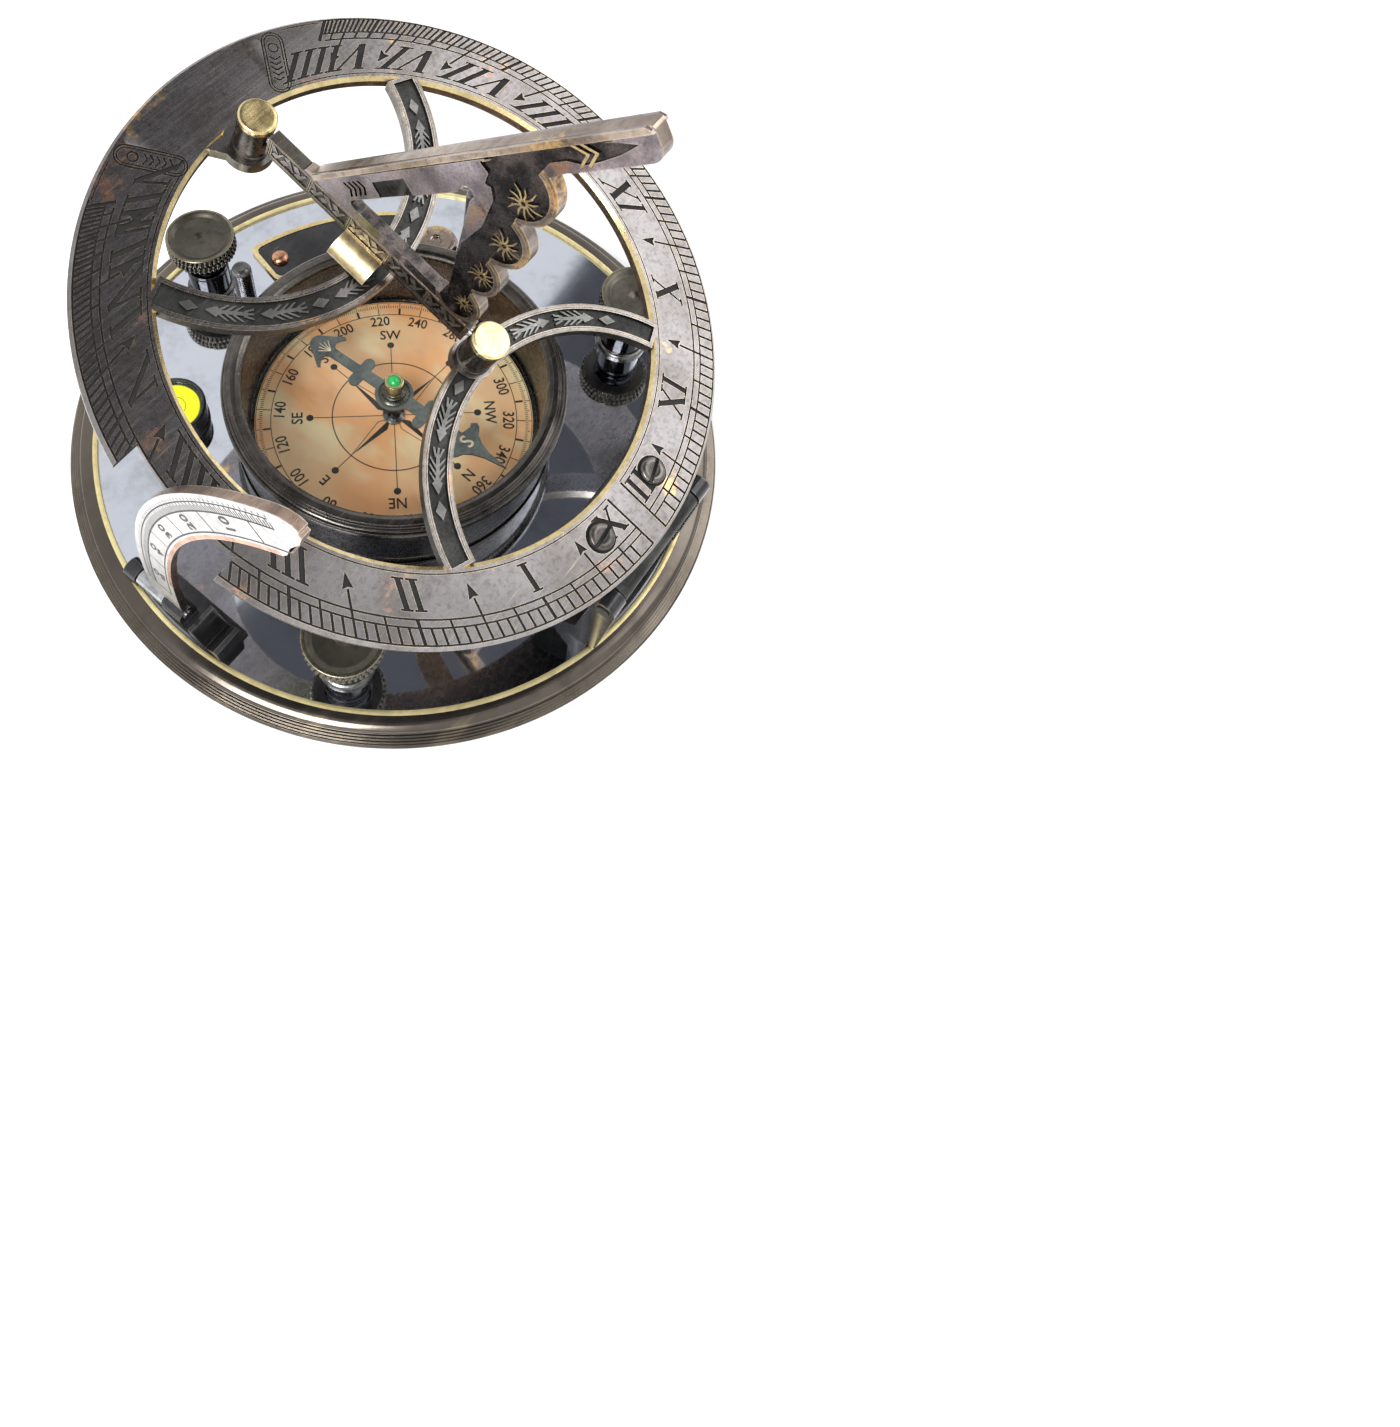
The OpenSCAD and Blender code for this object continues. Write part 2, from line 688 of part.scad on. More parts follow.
module hinge_bracket() {
    color(black)
        difference() {
            union() {
                for (s = [-1, 1])
                    translate([s * (cheek_x + cheek_t / 2), 0, 0])
                        standing(cheek_t)
                            cheek_outline();
                intersection() {
                    translate([-cheek_x - cheek_t, hinge_y - 3, floor_z])
                        cube([2 * (cheek_x + cheek_t), bracket_foot_y - hinge_y + 3, bracket_foot_t]);
                    cylinder(r = foot_edge_r, h = hinge_z, $fn = fine);
                }
            }
            difference() {
                translate([0, 0, foot_gap])
                    cylinder(r = 2 * base_r, h = floor_t + rim_h + 0.3, $fn = fine);
                cylinder(r = foot_edge_r, h = hinge_z, $fn = fine);
            }
            translate([0, hinge_y, hinge_z])
                rod_x(hinge_pin_r + seat_fit, -cheek_x - cheek_t - over, cheek_x + cheek_t + over);
            for (s = [-1, 1])
                translate([s * bracket_screw_x, bracket_screw_y, floor_z - over])
                    cylinder(r = bracket_screw_r + seat_fit, h = bracket_foot_t + 2 * over, $fn = small);
        }
}

module bracket_screws() {
    color(steel)
        for (s = [-1, 1])
            translate([s * bracket_screw_x, bracket_screw_y, floor_z + bracket_foot_t])
                slotted_screw(2, 1, bracket_screw_r, bracket_foot_t + 1.6);
}

module hinge_pin() {
    color(steel)
        translate([0, hinge_y, hinge_z])
            rod_x(hinge_pin_r, -cheek_x - cheek_t - 0.2, cheek_x + cheek_t + 0.2);
}

module arc_bracket() {
    knuckle_noon_end = sleeve_y - knuckle_gap;
    knuckle_night_start = sleeve_y + sleeve_l + knuckle_gap;
    plate_end = knuckle_night_start + knuckle_night_l;
    color(black)
        difference() {
            union() {
                intersection() {
                    translate([arc_x - 4, arc_plate_y, floor_z])
                        cube([8.5, plate_end - arc_plate_y, arc_plate_t]);
                    cylinder(r = foot_edge_r, h = arc_z, $fn = fine);
                }
                for (k = [[knuckle_noon_end - knuckle_noon_l, knuckle_noon_end],
                          [knuckle_night_start, plate_end]]) {
                    translate([arc_x, 0, arc_z])
                        rod_y(sleeve_r, k[0], k[1]);
                    translate([arc_x - sleeve_r, k[0], floor_z + rim_h + 0.3])
                        cube([2 * sleeve_r, k[1] - k[0], arc_rise - rim_h - 0.3]);
                }
                translate([arc_x + (vee_x[0] + vee_x[1]) / 2, 0, floor_z])
                    standing(vee_x[1] - vee_x[0])
                        polygon(concat(
                            [for (i = [0:4]) [vee_y[i], vee_h[i]]],
                            [[vee_y[4], 0.6], [vee_y[0], 0.6]]));
            }
            difference() {
                translate([0, 0, foot_gap])
                    cylinder(r = 2 * base_r, h = floor_t + rim_h + 0.3, $fn = fine);
                cylinder(r = foot_edge_r, h = hinge_z, $fn = fine);
            }
            translate([arc_x, 0, arc_z])
                rod_y(arc_pin_r + seat_fit, 0, plate_end + over);
            for (p = arc_screw_places)
                translate([p[0], p[1], floor_z - over])
                    cylinder(r = arc_screw_r + seat_fit, h = arc_screw_depth + 0.1 + over, $fn = small);
        }
}

module arc_screws() {
    color(steel)
        for (p = arc_screw_places)
            translate([p[0], p[1], foot_gap + 0.5])
                mirror([0, 0, 1])
                    slotted_screw(bowl_screw_head_r, 0.45, arc_screw_r, floor_t - 0.5 + arc_screw_depth);
}

module arc_pin() {
    color(steel)
        translate([arc_x, 0, arc_z])
            rod_y(arc_pin_r, sleeve_y - knuckle_gap - knuckle_noon_l - 0.2,
                  sleeve_y + sleeve_l + knuckle_gap + knuckle_night_l + 0.2);
}

// Flat outline of the hour ring with its straps and tab
module strap_band(offset_y, r, w, border) {
    translate([0, offset_y])
        difference() {
            circle(r = r + w - border, $fn = fine);
            circle(r = r + border, $fn = fine);
        }
}

module dial_ring() {
    color(bronze)
        on_ring()
            difference() {
                union() {
                    rotate_extrude($fn = fine)
                        polygon([
                            [ring_in_r, -ring_t], [ring_r, -ring_t], [ring_r, -ring_bevel],
                            [ring_r - ring_bevel, 0], [ring_in_r + ring_bevel, 0], [ring_in_r, -ring_bevel]]);
                    translate([0, 0, -ring_t])
                        linear_extrude(ring_t)
                            intersection() {
                                circle(r = ring_in_r + 1, $fn = fine);
                                union() {
                                    strap_band(-strap_noon_offset, strap_noon_r, strap_noon_w, 0);
                                    strap_band(strap_night_offset, strap_night_r, strap_night_w, 0);
                                    translate([0, tab_y])
                                        circle(r = tab_r, $fn = small);
                                    translate([0, pillar_noon_y])
                                        circle(r = pillar_r + 0.2, $fn = small);
                                }
                            }
                }
                translate([0, 0, -channel_depth])
                    linear_extrude(over)
                        difference() {
                            intersection() {
                                circle(r = ring_in_r - 1.2, $fn = fine);
                                union() {
                                    strap_band(-strap_noon_offset, strap_noon_r, strap_noon_w, channel_border);
                                    strap_band(strap_night_offset, strap_night_r, strap_night_w, channel_border);
                                }
                            }
                            translate([0, pillar_noon_y])
                                circle(r = pillar_r + 0.6, $fn = small);
                        }
                translate([0, 0, -ring_t - over])
                    linear_extrude(ring_t + 2 * over)
                        difference() {
                            translate([-ring_r - over, notch_low])
                                square([ring_w, notch_high - notch_low]);
                            circle(r = notch_r, $fn = fine);
                        }
                for (s = [-1, 1])
                    translate([s * leaf_screw_x, leaf_screw_y, -ring_t - over])
                        cylinder(r = leaf_screw_r + seat_fit, h = ring_t + 2 * over, $fn = small);
                for (y = [pillar_noon_y, pillar_night_y])
                    translate([0, y, -ring_t - over])
                        cylinder(r = stub_r + seat_fit, h = ring_t + 2 * over, $fn = small);
            }
}

module hinge_leaf() {
    color(bronze)
        on_ring()
            difference() {
                union() {
                    translate([-leaf_w / 2, leaf_back_y, -ring_t - leaf_t])
                        cube([leaf_w, leaf_front_y - leaf_back_y, leaf_t]);
                    translate([-leaf_w / 2, -ring_reach, -ring_t - leaf_t])
                        cube([leaf_w, leaf_back_y + ring_reach, leaf_t - gap]);
                    translate([0, -ring_reach, -hinge_drop])
                        rod_x(barrel_r, -leaf_w / 2, leaf_w / 2);
                }
                translate([0, -ring_reach, -hinge_drop])
                    rod_x(hinge_pin_r + run_fit, -leaf_w, leaf_w);
                for (s = [-1, 1])
                    translate([s * leaf_screw_x, leaf_screw_y, -ring_t - leaf_t - over])
                        cylinder(r = leaf_screw_r + seat_fit, h = leaf_t + 2 * over, $fn = small);
            }
}

module leaf_screws() {
    color(steel)
        on_ring()
            for (s = [-1, 1])
                translate([s * leaf_screw_x, leaf_screw_y, 0])
                    slotted_screw(leaf_screw_head_r, leaf_screw_head_h, leaf_screw_r, ring_t + leaf_t);
}

// A pillar on the ring; side is the direction of its pin, 1 toward midnight and -1 toward noon
module pillar(y, side) {
    color(dark_bronze)
        on_ring()
            translate([0, y, 0])
                difference() {
                    union() {
                        cylinder(r = pillar_r, h = pillar_h, $fn = fine);
                        translate([0, 0, -ring_t])
                            cylinder(r = stub_r, h = ring_t + over, $fn = small);
                    }
                    translate([0, 0, bar_axis_h])
                        rotate([-90 * side, 0, 0])
                            cylinder(r = swing_pin_r + seat_fit, h = pillar_r + over, $fn = small);
                    translate([0, 0, pillar_h - 0.7])
                        cylinder(r = stub_r, h = over + 0.7, $fn = small);
                }
}

module pillar_cap(y) {
    color(brass)
        on_ring()
            translate([0, y, pillar_h])
                rotate_extrude($fn = fine)
                    polygon([
                        [0, -0.6], [stub_r - seat_fit, -0.6], [stub_r - seat_fit, 0], [pillar_r, 0],
                        [pillar_r, cap_h - 0.3], [pillar_r - 0.3, cap_h], [0, cap_h]]);
}

module gnomon_pins() {
    color(steel)
        on_ring()
            translate([0, 0, bar_axis_h]) {
                rod_y(swing_pin_r, pillar_noon_y + 0.1, bar_start_y + swing_pin_l - 0.1);
                rod_y(swing_pin_r, bar_end_y - swing_pin_l + 0.1, pillar_night_y - 0.1);
            }
}

module gnomon_bar() {
    tenon_gap = 0.05;
    color(bronze)
        on_ring()
            difference() {
                translate([-bar_t / 2, bar_start_y, bar_axis_h - bar_h / 2])
                    cube([bar_t, bar_end_y - bar_start_y, bar_h]);
                translate([0, 0, bar_axis_h]) {
                    rod_y(swing_pin_r + run_fit, bar_start_y - over, bar_start_y + swing_pin_l);
                    rod_y(swing_pin_r + run_fit, bar_end_y - swing_pin_l, bar_end_y + over);
                }
                for (y = [bar_start_y + 7, bar_start_y + 24])
                    translate([-tenon_t / 2 - tenon_gap, y - tenon_gap, bar_top_h - tenon_h - tenon_gap])
                        cube([tenon_t + 2 * tenon_gap, 5 + 2 * tenon_gap, tenon_h + over]);
            }
}

// Scalloped back of the gnomon: each lobe is a centre, measured from the bar's noon end
// and the top of the bar, and a radius
lobes = [[7.7, 32.8, 5.8], [5.9, 22.4, 5.2], [5.5, 12.6, 4.7], [4.5, 3.8, 4.2]];

// Outline of the gnomon plate, from the bar's noon end and the top of the bar
module gnomon_outline() {
    toe = style_foot;
    tip_y = style_tip_y - bar_start_y;
    tip_z = tip_h - bar_top_h;
    blade = [cos(180 - style_angle), sin(180 - style_angle)];
    corner = 1.8;
    tip_c = [tip_y, tip_z] - corner * blade + (blade_w - corner) * [-blade[1], blade[0]];
    intersection() {
        union() {
            polygon(concat(
                [[toe + 1, 0], [toe, 1.2], [tip_y, tip_z]],
                arc_points(tip_c, corner, 180 - style_angle, 270 - style_angle, 6),
                [[3.4, 42.2], [6, 38.4], [7, 36], [7, 34], [5, 26], [5, 16], [3, 6], [1, 1.4], [1, 0]]));
            for (l = lobes)
                translate([l[0], l[1]])
                    circle(r = l[2], $fn = small);
        }
        translate([-blade_w, 0])
            square([toe + 1 + blade_w, tip_h]);
        polygon([[toe + 1, -over], [toe + 1, 0], [toe, 1.2], [tip_y, tip_z], [tip_y - 20, tip_z], [tip_y - 20, -over]]);
    }
}

// Opening between the style, the scalloped back and the bottom rail
module gnomon_opening() {
    corner = 0.8;
    hull() {
        translate([25.3, 3])
            circle(r = corner, $fn = 32);
        translate([12.4, 23.9])
            circle(r = corner, $fn = 32);
        translate([7.2, 2.9])
            circle(r = corner, $fn = 32);
    }
}

// Sunk field that follows the scallops
module gnomon_field() {
    margin = 1;
    for (l = lobes)
        translate([l[0], l[1]])
            circle(r = l[2] - margin, $fn = small);
    polygon([[4, 2], [5.2, 2], [7, 8], [8.2, 15], [7.6, 22], [9.4, 29.8], [10.4, 34], [8, 36], [5, 24], [4.6, 14], [3.4, 6]]);
}

module gnomon_plate() {
    style_len = norm([style_run, tip_h - bar_top_h]);
    field_depth = 0.3;
    color(bronze)
        on_ring()
            translate([0, bar_start_y, bar_top_h])
                difference() {
                    union() {
                        standing(plate_t)
                            gnomon_outline();
                        standing(style_t)
                            intersection() {
                                gnomon_outline();
                                translate([style_foot, 0])
                                    rotate(180 - style_angle)
                                        translate([1.5, -over])
                                            square([style_len, style_rail + over]);
                            }
                        for (y = [7, 24])
                            translate([-tenon_t / 2, y, -tenon_h])
                                cube([tenon_t, 5, tenon_h + over]);
                    }
                    standing(2 * style_t)
                        gnomon_opening();
                    for (s = [-1, 1])
                        translate([s * (plate_t - field_depth), 0, 0])
                            standing(plate_t)
                                gnomon_field();
                }
}

// Curved tab under the bar, which keeps just clear of the midnight strap while the gnomon is upright
module stop_tab() {
    bar_bottom = bar_axis_h - bar_h / 2;
    centre_x = -bar_t / 2 + 0.1;
    color(brass)
        on_ring()
            translate([0, bar_start_y + tab_start + tab_l, 0])
                rotate([90, 0, 0])
                    linear_extrude(tab_l)
                        union() {
                            intersection() {
                                translate([centre_x, bar_bottom - tab_curve_r])
                                    difference() {
                                        circle(r = tab_curve_r, $fn = fine);
                                        circle(r = tab_curve_r - tab_t, $fn = fine);
                                    }
                                translate([centre_x - tab_curve_r - over, gap])
                                    square([tab_curve_r + over, tab_curve_r]);
                            }
                            translate([centre_x, bar_bottom - tab_t])
                                square([bar_t - 0.2, tab_t]);
                        }
}

// Outline of the latitude arc's blade in its own frame
module arc_outline() {
    c = [-arc_centre_y, arc_centre_h];
    start = -asin((arc_centre_h - 1) / arc_r);
    difference() {
        polygon(concat(
            arc_points(c, arc_out_r, start, arc_span + 3, 40),
            [c + (arc_out_r - 0.8) * [cos(arc_span + 5.2), sin(arc_span + 5.2)],
             c + (arc_out_r - 2.6) * [cos(arc_span + 5.4), sin(arc_span + 5.4)],
             c + (arc_out_r - 4) * [cos(arc_span + 4.4), sin(arc_span + 4.4)],
             c + (arc_out_r - 5.4) * [cos(arc_span + 2.4), sin(arc_span + 2.4)],
             c + (arc_r + 0.5) * [cos(arc_span + 1), sin(arc_span + 1)]],
            arc_points(c, arc_r, arc_span, start, 40)));
        translate([sleeve_y - 20 - knuckle_gap / 2, -over])
            square([20, sleeve_r + gap + over]);
    }
}

module latitude_arc() {
    color(silver)
        on_arc()
            difference() {
                standing(arc_t)
                    arc_outline();
                rod_y(sleeve_r - 0.2, sleeve_y - over, sleeve_y + sleeve_l + over);
                rod_y(sleeve_r + gap, sleeve_y - 20, sleeve_y - knuckle_gap / 2);
            }
}

module arc_sleeve() {
    color(silver)
        on_arc()
            difference() {
                rod_y(sleeve_r - 0.2, sleeve_y, sleeve_y + sleeve_l);
                rod_y(arc_pin_r + run_fit, sleeve_y - over, sleeve_y + sleeve_l + over);
            }
}

// Places children on the axis of levelling screw i, counted from 1
module on_screw(i) {
    rotate(knob_angles[i - 1])
        translate([knob_ring_r, 0, 0])
            rotate(-knob_angles[i - 1])
                children();
}

module screw_bush(i) {
    color(dark_bronze)
        on_screw(i)
            rotate_extrude($fn = fine)
                polygon([
                    [rod_r + run_fit, foot_gap], [bush_spigot_r, foot_gap], [bush_spigot_r, floor_z],
                    [bush_r + 0.8, floor_z], [bush_r + 0.8, floor_z + 0.8], [bush_r, floor_z + 1.2],
                    [bush_r, floor_z + bush_h - 0.3], [bush_r - 0.3, floor_z + bush_h],
                    [rod_r + run_fit, floor_z + bush_h]]);
}

module levelling_knob(i) {
    bead_h = knob_h / 2;
    bead = 0.6;
    groove_r = 0.42;
    bore_r = rod_head_r + seat_fit;
    color(dark_bronze)
        on_screw(i)
            difference() {
                rotate_extrude($fn = fine)
                    polygon(concat(
                        [[bore_r, knob_z - neck_h], [bush_r - 0.4, knob_z - neck_h], [bush_r - 0.2, knob_z - neck_h + 0.4],
                         [bush_r - 0.2, knob_z], [knob_r - bead, knob_z]],
                        [for (a = [-75:25:75]) [knob_r - bead + bead * cos(a), knob_z + bead_h * (0.5 + 0.45 * sin(a))]],
                        [for (a = [-75:25:75]) [knob_r - bead + bead * cos(a), knob_z + bead_h * (1.5 + 0.45 * sin(a))]],
                        [[knob_r - bead, knob_top_z], [knob_r - 1.2, knob_top_z], [knob_r - 2, knob_top_z - 0.5],
                         [1.4, knob_top_z - 0.9], [0.8, knob_top_z - 1.3], [0, knob_top_z - 1.3],
                         [0, knob_top_z - 1.8], [bore_r, knob_top_z - 1.8]]));
                for (k = [0:knob_beads - 1])
                    rotate(360 * k / knob_beads)
                        translate([knob_r + groove_r * 0.35, 0, knob_z - over])
                            cylinder(r = groove_r, h = knob_h + 2 * over, $fn = 16);
            }
}

module levelling_screw(i) {
    color(steel)
        on_screw(i)
            rotate_extrude($fn = small)
                polygon([
                    [0, 0.5], [rod_tip_r, 0.5], [rod_tip_r, foot_t + 0.2], [rod_r, foot_t + 0.5],
                    [rod_r, knob_z - neck_h], [rod_head_r, knob_z - neck_h], [rod_head_r, knob_top_z - 1.9],
                    [0, knob_top_z - 1.9]]);
}

module levelling_foot(i) {
    color(steel)
        on_screw(i)
            rotate_extrude($fn = small)
                polygon([
                    [0, 0], [foot_r - 0.3, 0], [foot_r, 0.3], [foot_r, foot_t - 0.4], [foot_r - 0.6, foot_t],
                    [rod_tip_r + run_fit, foot_t], [rod_tip_r + run_fit, 0.4], [0, 0.4]]);
}

base_plate();
compass_bowl();
bowl_screws();
compass_bezel();
compass_glass();
compass_card();
needle_pivot();
level_housing();
level_vial();
level_glass();
nameplate();
nameplate_rivets();
hinge_bracket();
bracket_screws();
hinge_pin();
arc_bracket();
arc_screws();
arc_pin();
rest_posts();
floor_stud();
screw_bush(1);  // screw_bush_1
screw_bush(2);  // screw_bush_2
screw_bush(3);  // screw_bush_3
dial_ring();
hinge_leaf();
leaf_screws();
pillar(pillar_night_y, -1);  // pillar_midnight
pillar(pillar_noon_y, 1);  // pillar_noon
pillar_cap(pillar_night_y);  // pillar_cap_midnight
pillar_cap(pillar_noon_y);  // pillar_cap_noon
gnomon_pins();
gnomon_bar();
gnomon_plate();
stop_tab();
latitude_arc();
arc_sleeve();
compass_needle();
needle_hub();
hub_jewel();
levelling_knob(1);  // levelling_knob_1
levelling_knob(2);  // levelling_knob_2
levelling_knob(3);  // levelling_knob_3
levelling_screw(1);  // levelling_screw_1
levelling_screw(2);  // levelling_screw_2
levelling_screw(3);  // levelling_screw_3
levelling_foot(1);  // levelling_foot_1
levelling_foot(2);  // levelling_foot_2
levelling_foot(3);  // levelling_foot_3
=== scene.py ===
"""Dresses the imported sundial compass: engraved ring, ornamented gnomon, printed card, worn metals."""

import random
from math import acos, asin, atan2, cos, degrees, hypot, pi, radians, sin, sqrt

import bmesh
import bpy
import numpy as np
from mathutils import Matrix, Vector
from mathutils.geometry import delaunay_2d_cdt


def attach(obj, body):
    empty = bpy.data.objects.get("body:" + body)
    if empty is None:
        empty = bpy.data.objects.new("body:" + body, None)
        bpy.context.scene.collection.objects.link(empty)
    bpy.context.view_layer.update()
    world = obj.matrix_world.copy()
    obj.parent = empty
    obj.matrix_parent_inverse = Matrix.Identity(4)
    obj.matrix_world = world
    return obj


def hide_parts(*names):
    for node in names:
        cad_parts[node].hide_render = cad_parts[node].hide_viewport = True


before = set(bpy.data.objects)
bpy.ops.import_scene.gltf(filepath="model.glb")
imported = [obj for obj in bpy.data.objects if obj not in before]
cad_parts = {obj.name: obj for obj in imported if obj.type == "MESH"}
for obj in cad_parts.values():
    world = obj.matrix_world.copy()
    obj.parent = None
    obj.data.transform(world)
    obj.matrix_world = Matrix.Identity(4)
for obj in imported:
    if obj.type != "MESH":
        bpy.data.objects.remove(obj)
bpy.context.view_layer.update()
random.seed(7)

MM = 0.001
TAU = 2 * pi
scene = bpy.context.scene

# Frames of the tilted hour ring and of the leaning latitude arc
TILT = radians(20.2)
RING_Y, RING_Z = -5.572, 46.138
RING = Matrix(((1, 0, 0, 0), (0, cos(TILT), -sin(TILT), RING_Y * MM), (0, sin(TILT), cos(TILT), RING_Z * MM),
        (0, 0, 0, 1)))
ARC_LEAN = radians(3.5)
ARC_PIN = (-0.055, 0, 0.0086)
ARC = Matrix.Translation(ARC_PIN) @ Matrix.Rotation(ARC_LEAN, 4, "Y")
# Draws in the plane of y (first) and z (second), with thickness along x
UPRIGHT = Matrix(((0, 0, 1, 0), (1, 0, 0, 0), (0, 1, 0, 0), (0, 0, 0, 1)))
FLAT = Matrix.Identity(4)


def at(x, y, z=0):
    """Move by x, y, z millimetres."""
    return Matrix.Translation((x * MM, y * MM, z * MM))


def data(text):
    """Tuples written as 1,2 3,4: points of a drawing or a profile, or colours."""
    return [tuple(float(v) for v in item.split(",")) for item in text.split()]


# ---------------------------------------------------------------- materials
class Nodes:
    """Small helper that adds and joins nodes of one material."""

    def __init__(self, name):
        self.mat = bpy.data.materials.new(name)
        self.mat.use_nodes = True
        self.tree = self.mat.node_tree
        self.tree.nodes.clear()
        self.out = self.add("ShaderNodeOutputMaterial")
        self.shader = self.add("ShaderNodeBsdfPrincipled")
        self.join(self.shader.outputs[0], self.out.inputs[0])
        coord = self.add("ShaderNodeTexCoord")
        scale = self.add("ShaderNodeVectorMath", operation="SCALE")
        scale.inputs["Scale"].default_value = 1000
        self.join(coord.outputs["Object"], scale.inputs[0])
        self.mm = scale.outputs[0]

    def add(self, kind, **props):
        node = self.tree.nodes.new(kind)
        for key, value in props.items():
            setattr(node, key, value)
        return node

    def join(self, a, b):
        self.tree.links.new(a, b)

    def noise(self, scale, detail=4, rough=0.55, stretch=None, turn=(0, 0, 0), seed=0):
        src = self.mm
        if stretch or seed:
            mapping = self.add("ShaderNodeMapping")
            mapping.inputs["Scale"].default_value = stretch or (1, 1, 1)
            mapping.inputs["Rotation"].default_value = turn
            mapping.inputs["Location"].default_value = (seed, seed * 0.7, -seed)
            self.join(src, mapping.inputs[0])
            src = mapping.outputs[0]
        node = self.add("ShaderNodeTexNoise")
        node.inputs["Scale"].default_value = scale
        node.inputs["Detail"].default_value = detail
        node.inputs["Roughness"].default_value = rough
        self.join(src, node.inputs["Vector"])
        return node.outputs[0]

    def ramp(self, fac, lo, hi, a=0, b=1):
        node = self.add("ShaderNodeMapRange", interpolation_type="SMOOTHSTEP")
        for key, value in (("From Min", lo), ("From Max", hi), ("To Min", a), ("To Max", b)):
            node.inputs[key].default_value = value
        self.join(fac, node.inputs[0])
        return node.outputs[0]

    def put(self, value, socket):
        """Sets a number or a colour on a socket, or joins another socket to it."""
        if isinstance(value, (int, float)):
            socket.default_value = value
        elif isinstance(value, tuple):
            socket.default_value = (*value, 1)
        else:
            self.join(value, socket)

    def shade(self, **values):
        """Puts values on the shader; Base_Color stands for the socket Base Color."""
        for key, value in values.items():
            self.put(value, self.shader.inputs[key.replace("_", " ")])

    def math(self, op, a, b):
        node = self.add("ShaderNodeMath", operation=op)
        self.put(a, node.inputs[0])
        self.put(b, node.inputs[1])
        return node.outputs[0]

    def mix(self, fac, a, b):
        node = self.add("ShaderNodeMix", data_type="RGBA")
        for value, socket in ((fac, 0), (a, 6), (b, 7)):
            self.put(value, node.inputs[socket])
        return node.outputs[2]

    def edges(self, radius):
        """Mask of the edges that a bevel of this radius in millimetres would round."""
        bevel = self.add("ShaderNodeBevel", samples=4)
        bevel.inputs[0].default_value = radius * MM
        geo = self.add("ShaderNodeNewGeometry")
        dot = self.add("ShaderNodeVectorMath", operation="DOT_PRODUCT")
        self.join(bevel.outputs[0], dot.inputs[0])
        self.join(geo.outputs["Normal"], dot.inputs[1])
        return self.ramp(self.math("SUBTRACT", 1, dot.outputs["Value"]), 0.02, 0.2)

    def bump(self, height, strength, distance):
        node = self.add("ShaderNodeBump")
        node.inputs["Strength"].default_value = strength
        node.inputs["Distance"].default_value = distance * MM
        self.join(height, node.inputs["Height"])
        self.join(node.outputs[0], self.shader.inputs["Normal"])


def metal(name, colours, patch=0.12, speck=1.2, wear=0.7, edge=0.35, bump=0.25, spots="", grain=(0.25, 4, 4),
        metallic=1, coat=0):
    """Worn metal: broad patches, fine specks, scratches, bright rubbed edges and optional spots.
    colours holds the main, the dark and the worn colour and the range of roughness; spots holds for each
    kind its colour, how rare it is and how strong."""
    main, dark, worn, rough = data(colours)
    n = Nodes(name)
    broad = n.ramp(n.noise(patch, 5, 0.6), 0.36, 0.66)
    fine = n.noise(speck, 6, 0.65, seed=3.1)
    colour = n.mix(broad, main, dark)
    colour = n.mix(n.ramp(fine, 0.45, 0.75, 0, 0.55), colour, tuple(c * 0.45 for c in dark))
    for k, (*tint, low, amount) in enumerate(data(spots)):
        where = n.ramp(n.noise(0.09, 6, 0.7, seed=11 + 5 * k), low, low + 0.09, 0, amount)
        colour = n.mix(where, colour, tuple(tint))
    scratch = n.noise(0.5, 3, 0.6, stretch=grain, turn=(0.2, 0.4, 0.6))
    colour = n.mix(n.ramp(scratch, 0.6, 0.78, 0, 0.3), colour, worn)
    if wear:
        uneven = n.ramp(n.noise(0.5, 5, 0.6, seed=8), 0.3, 0.62, 0.25, 1)
        mask = n.math("MULTIPLY", n.edges(edge), uneven)
        colour = n.mix(n.math("MULTIPLY", mask, wear), colour, worn)
    mixed = n.math("ADD", n.math("MULTIPLY", fine, 0.6), n.math("MULTIPLY", scratch, 0.4))
    n.shade(Base_Color=colour, Metallic=metallic, Coat_Weight=coat, Coat_Roughness=0.12, Roughness=n.ramp(mixed, 0.3,
            0.7, *rough))
    n.bump(mixed, bump, 0.06)
    return n.mat


def glassy(name, tint, rough, ior):
    """Clear tinted body with a slightly smudged surface."""
    n = Nodes(name)
    film = n.noise(0.2, 5, 0.6)
    n.shade(Transmission_Weight=1, IOR=ior, Roughness=n.ramp(film, 0.45, 0.75, rough, rough + 0.03),
            Base_Color=n.mix(n.ramp(film, 0.4, 0.8, 0, 0.12), tint, tuple(c * 0.9 for c in tint)))
    return n.mat


def thin_glass(name):
    """Flat cover glass: mostly clear, with a soft shine that grows at a slant."""
    n = Nodes(name)
    clear = n.add("ShaderNodeBsdfTransparent")
    gloss = n.add("ShaderNodeBsdfGlossy")
    film = n.noise(0.15, 5, 0.6)
    n.join(n.mix(n.ramp(film, 0.4, 0.8, 0, 1), (0.97, 0.99, 0.985), (0.92, 0.95, 0.94)), clear.inputs[0])
    n.join(n.ramp(film, 0.4, 0.8, 0.02, 0.1), gloss.inputs["Roughness"])
    slant = n.add("ShaderNodeLayerWeight")
    slant.inputs["Blend"].default_value = 0.5
    mix = n.add("ShaderNodeMixShader")
    n.join(n.ramp(slant.outputs["Facing"], 0.2, 1, 0.012, 0.35), mix.inputs[0])
    n.join(clear.outputs[0], mix.inputs[1])
    n.join(gloss.outputs[0], mix.inputs[2])
    n.join(mix.outputs[0], n.out.inputs[0])
    n.tree.nodes.remove(n.shader)
    return n.mat


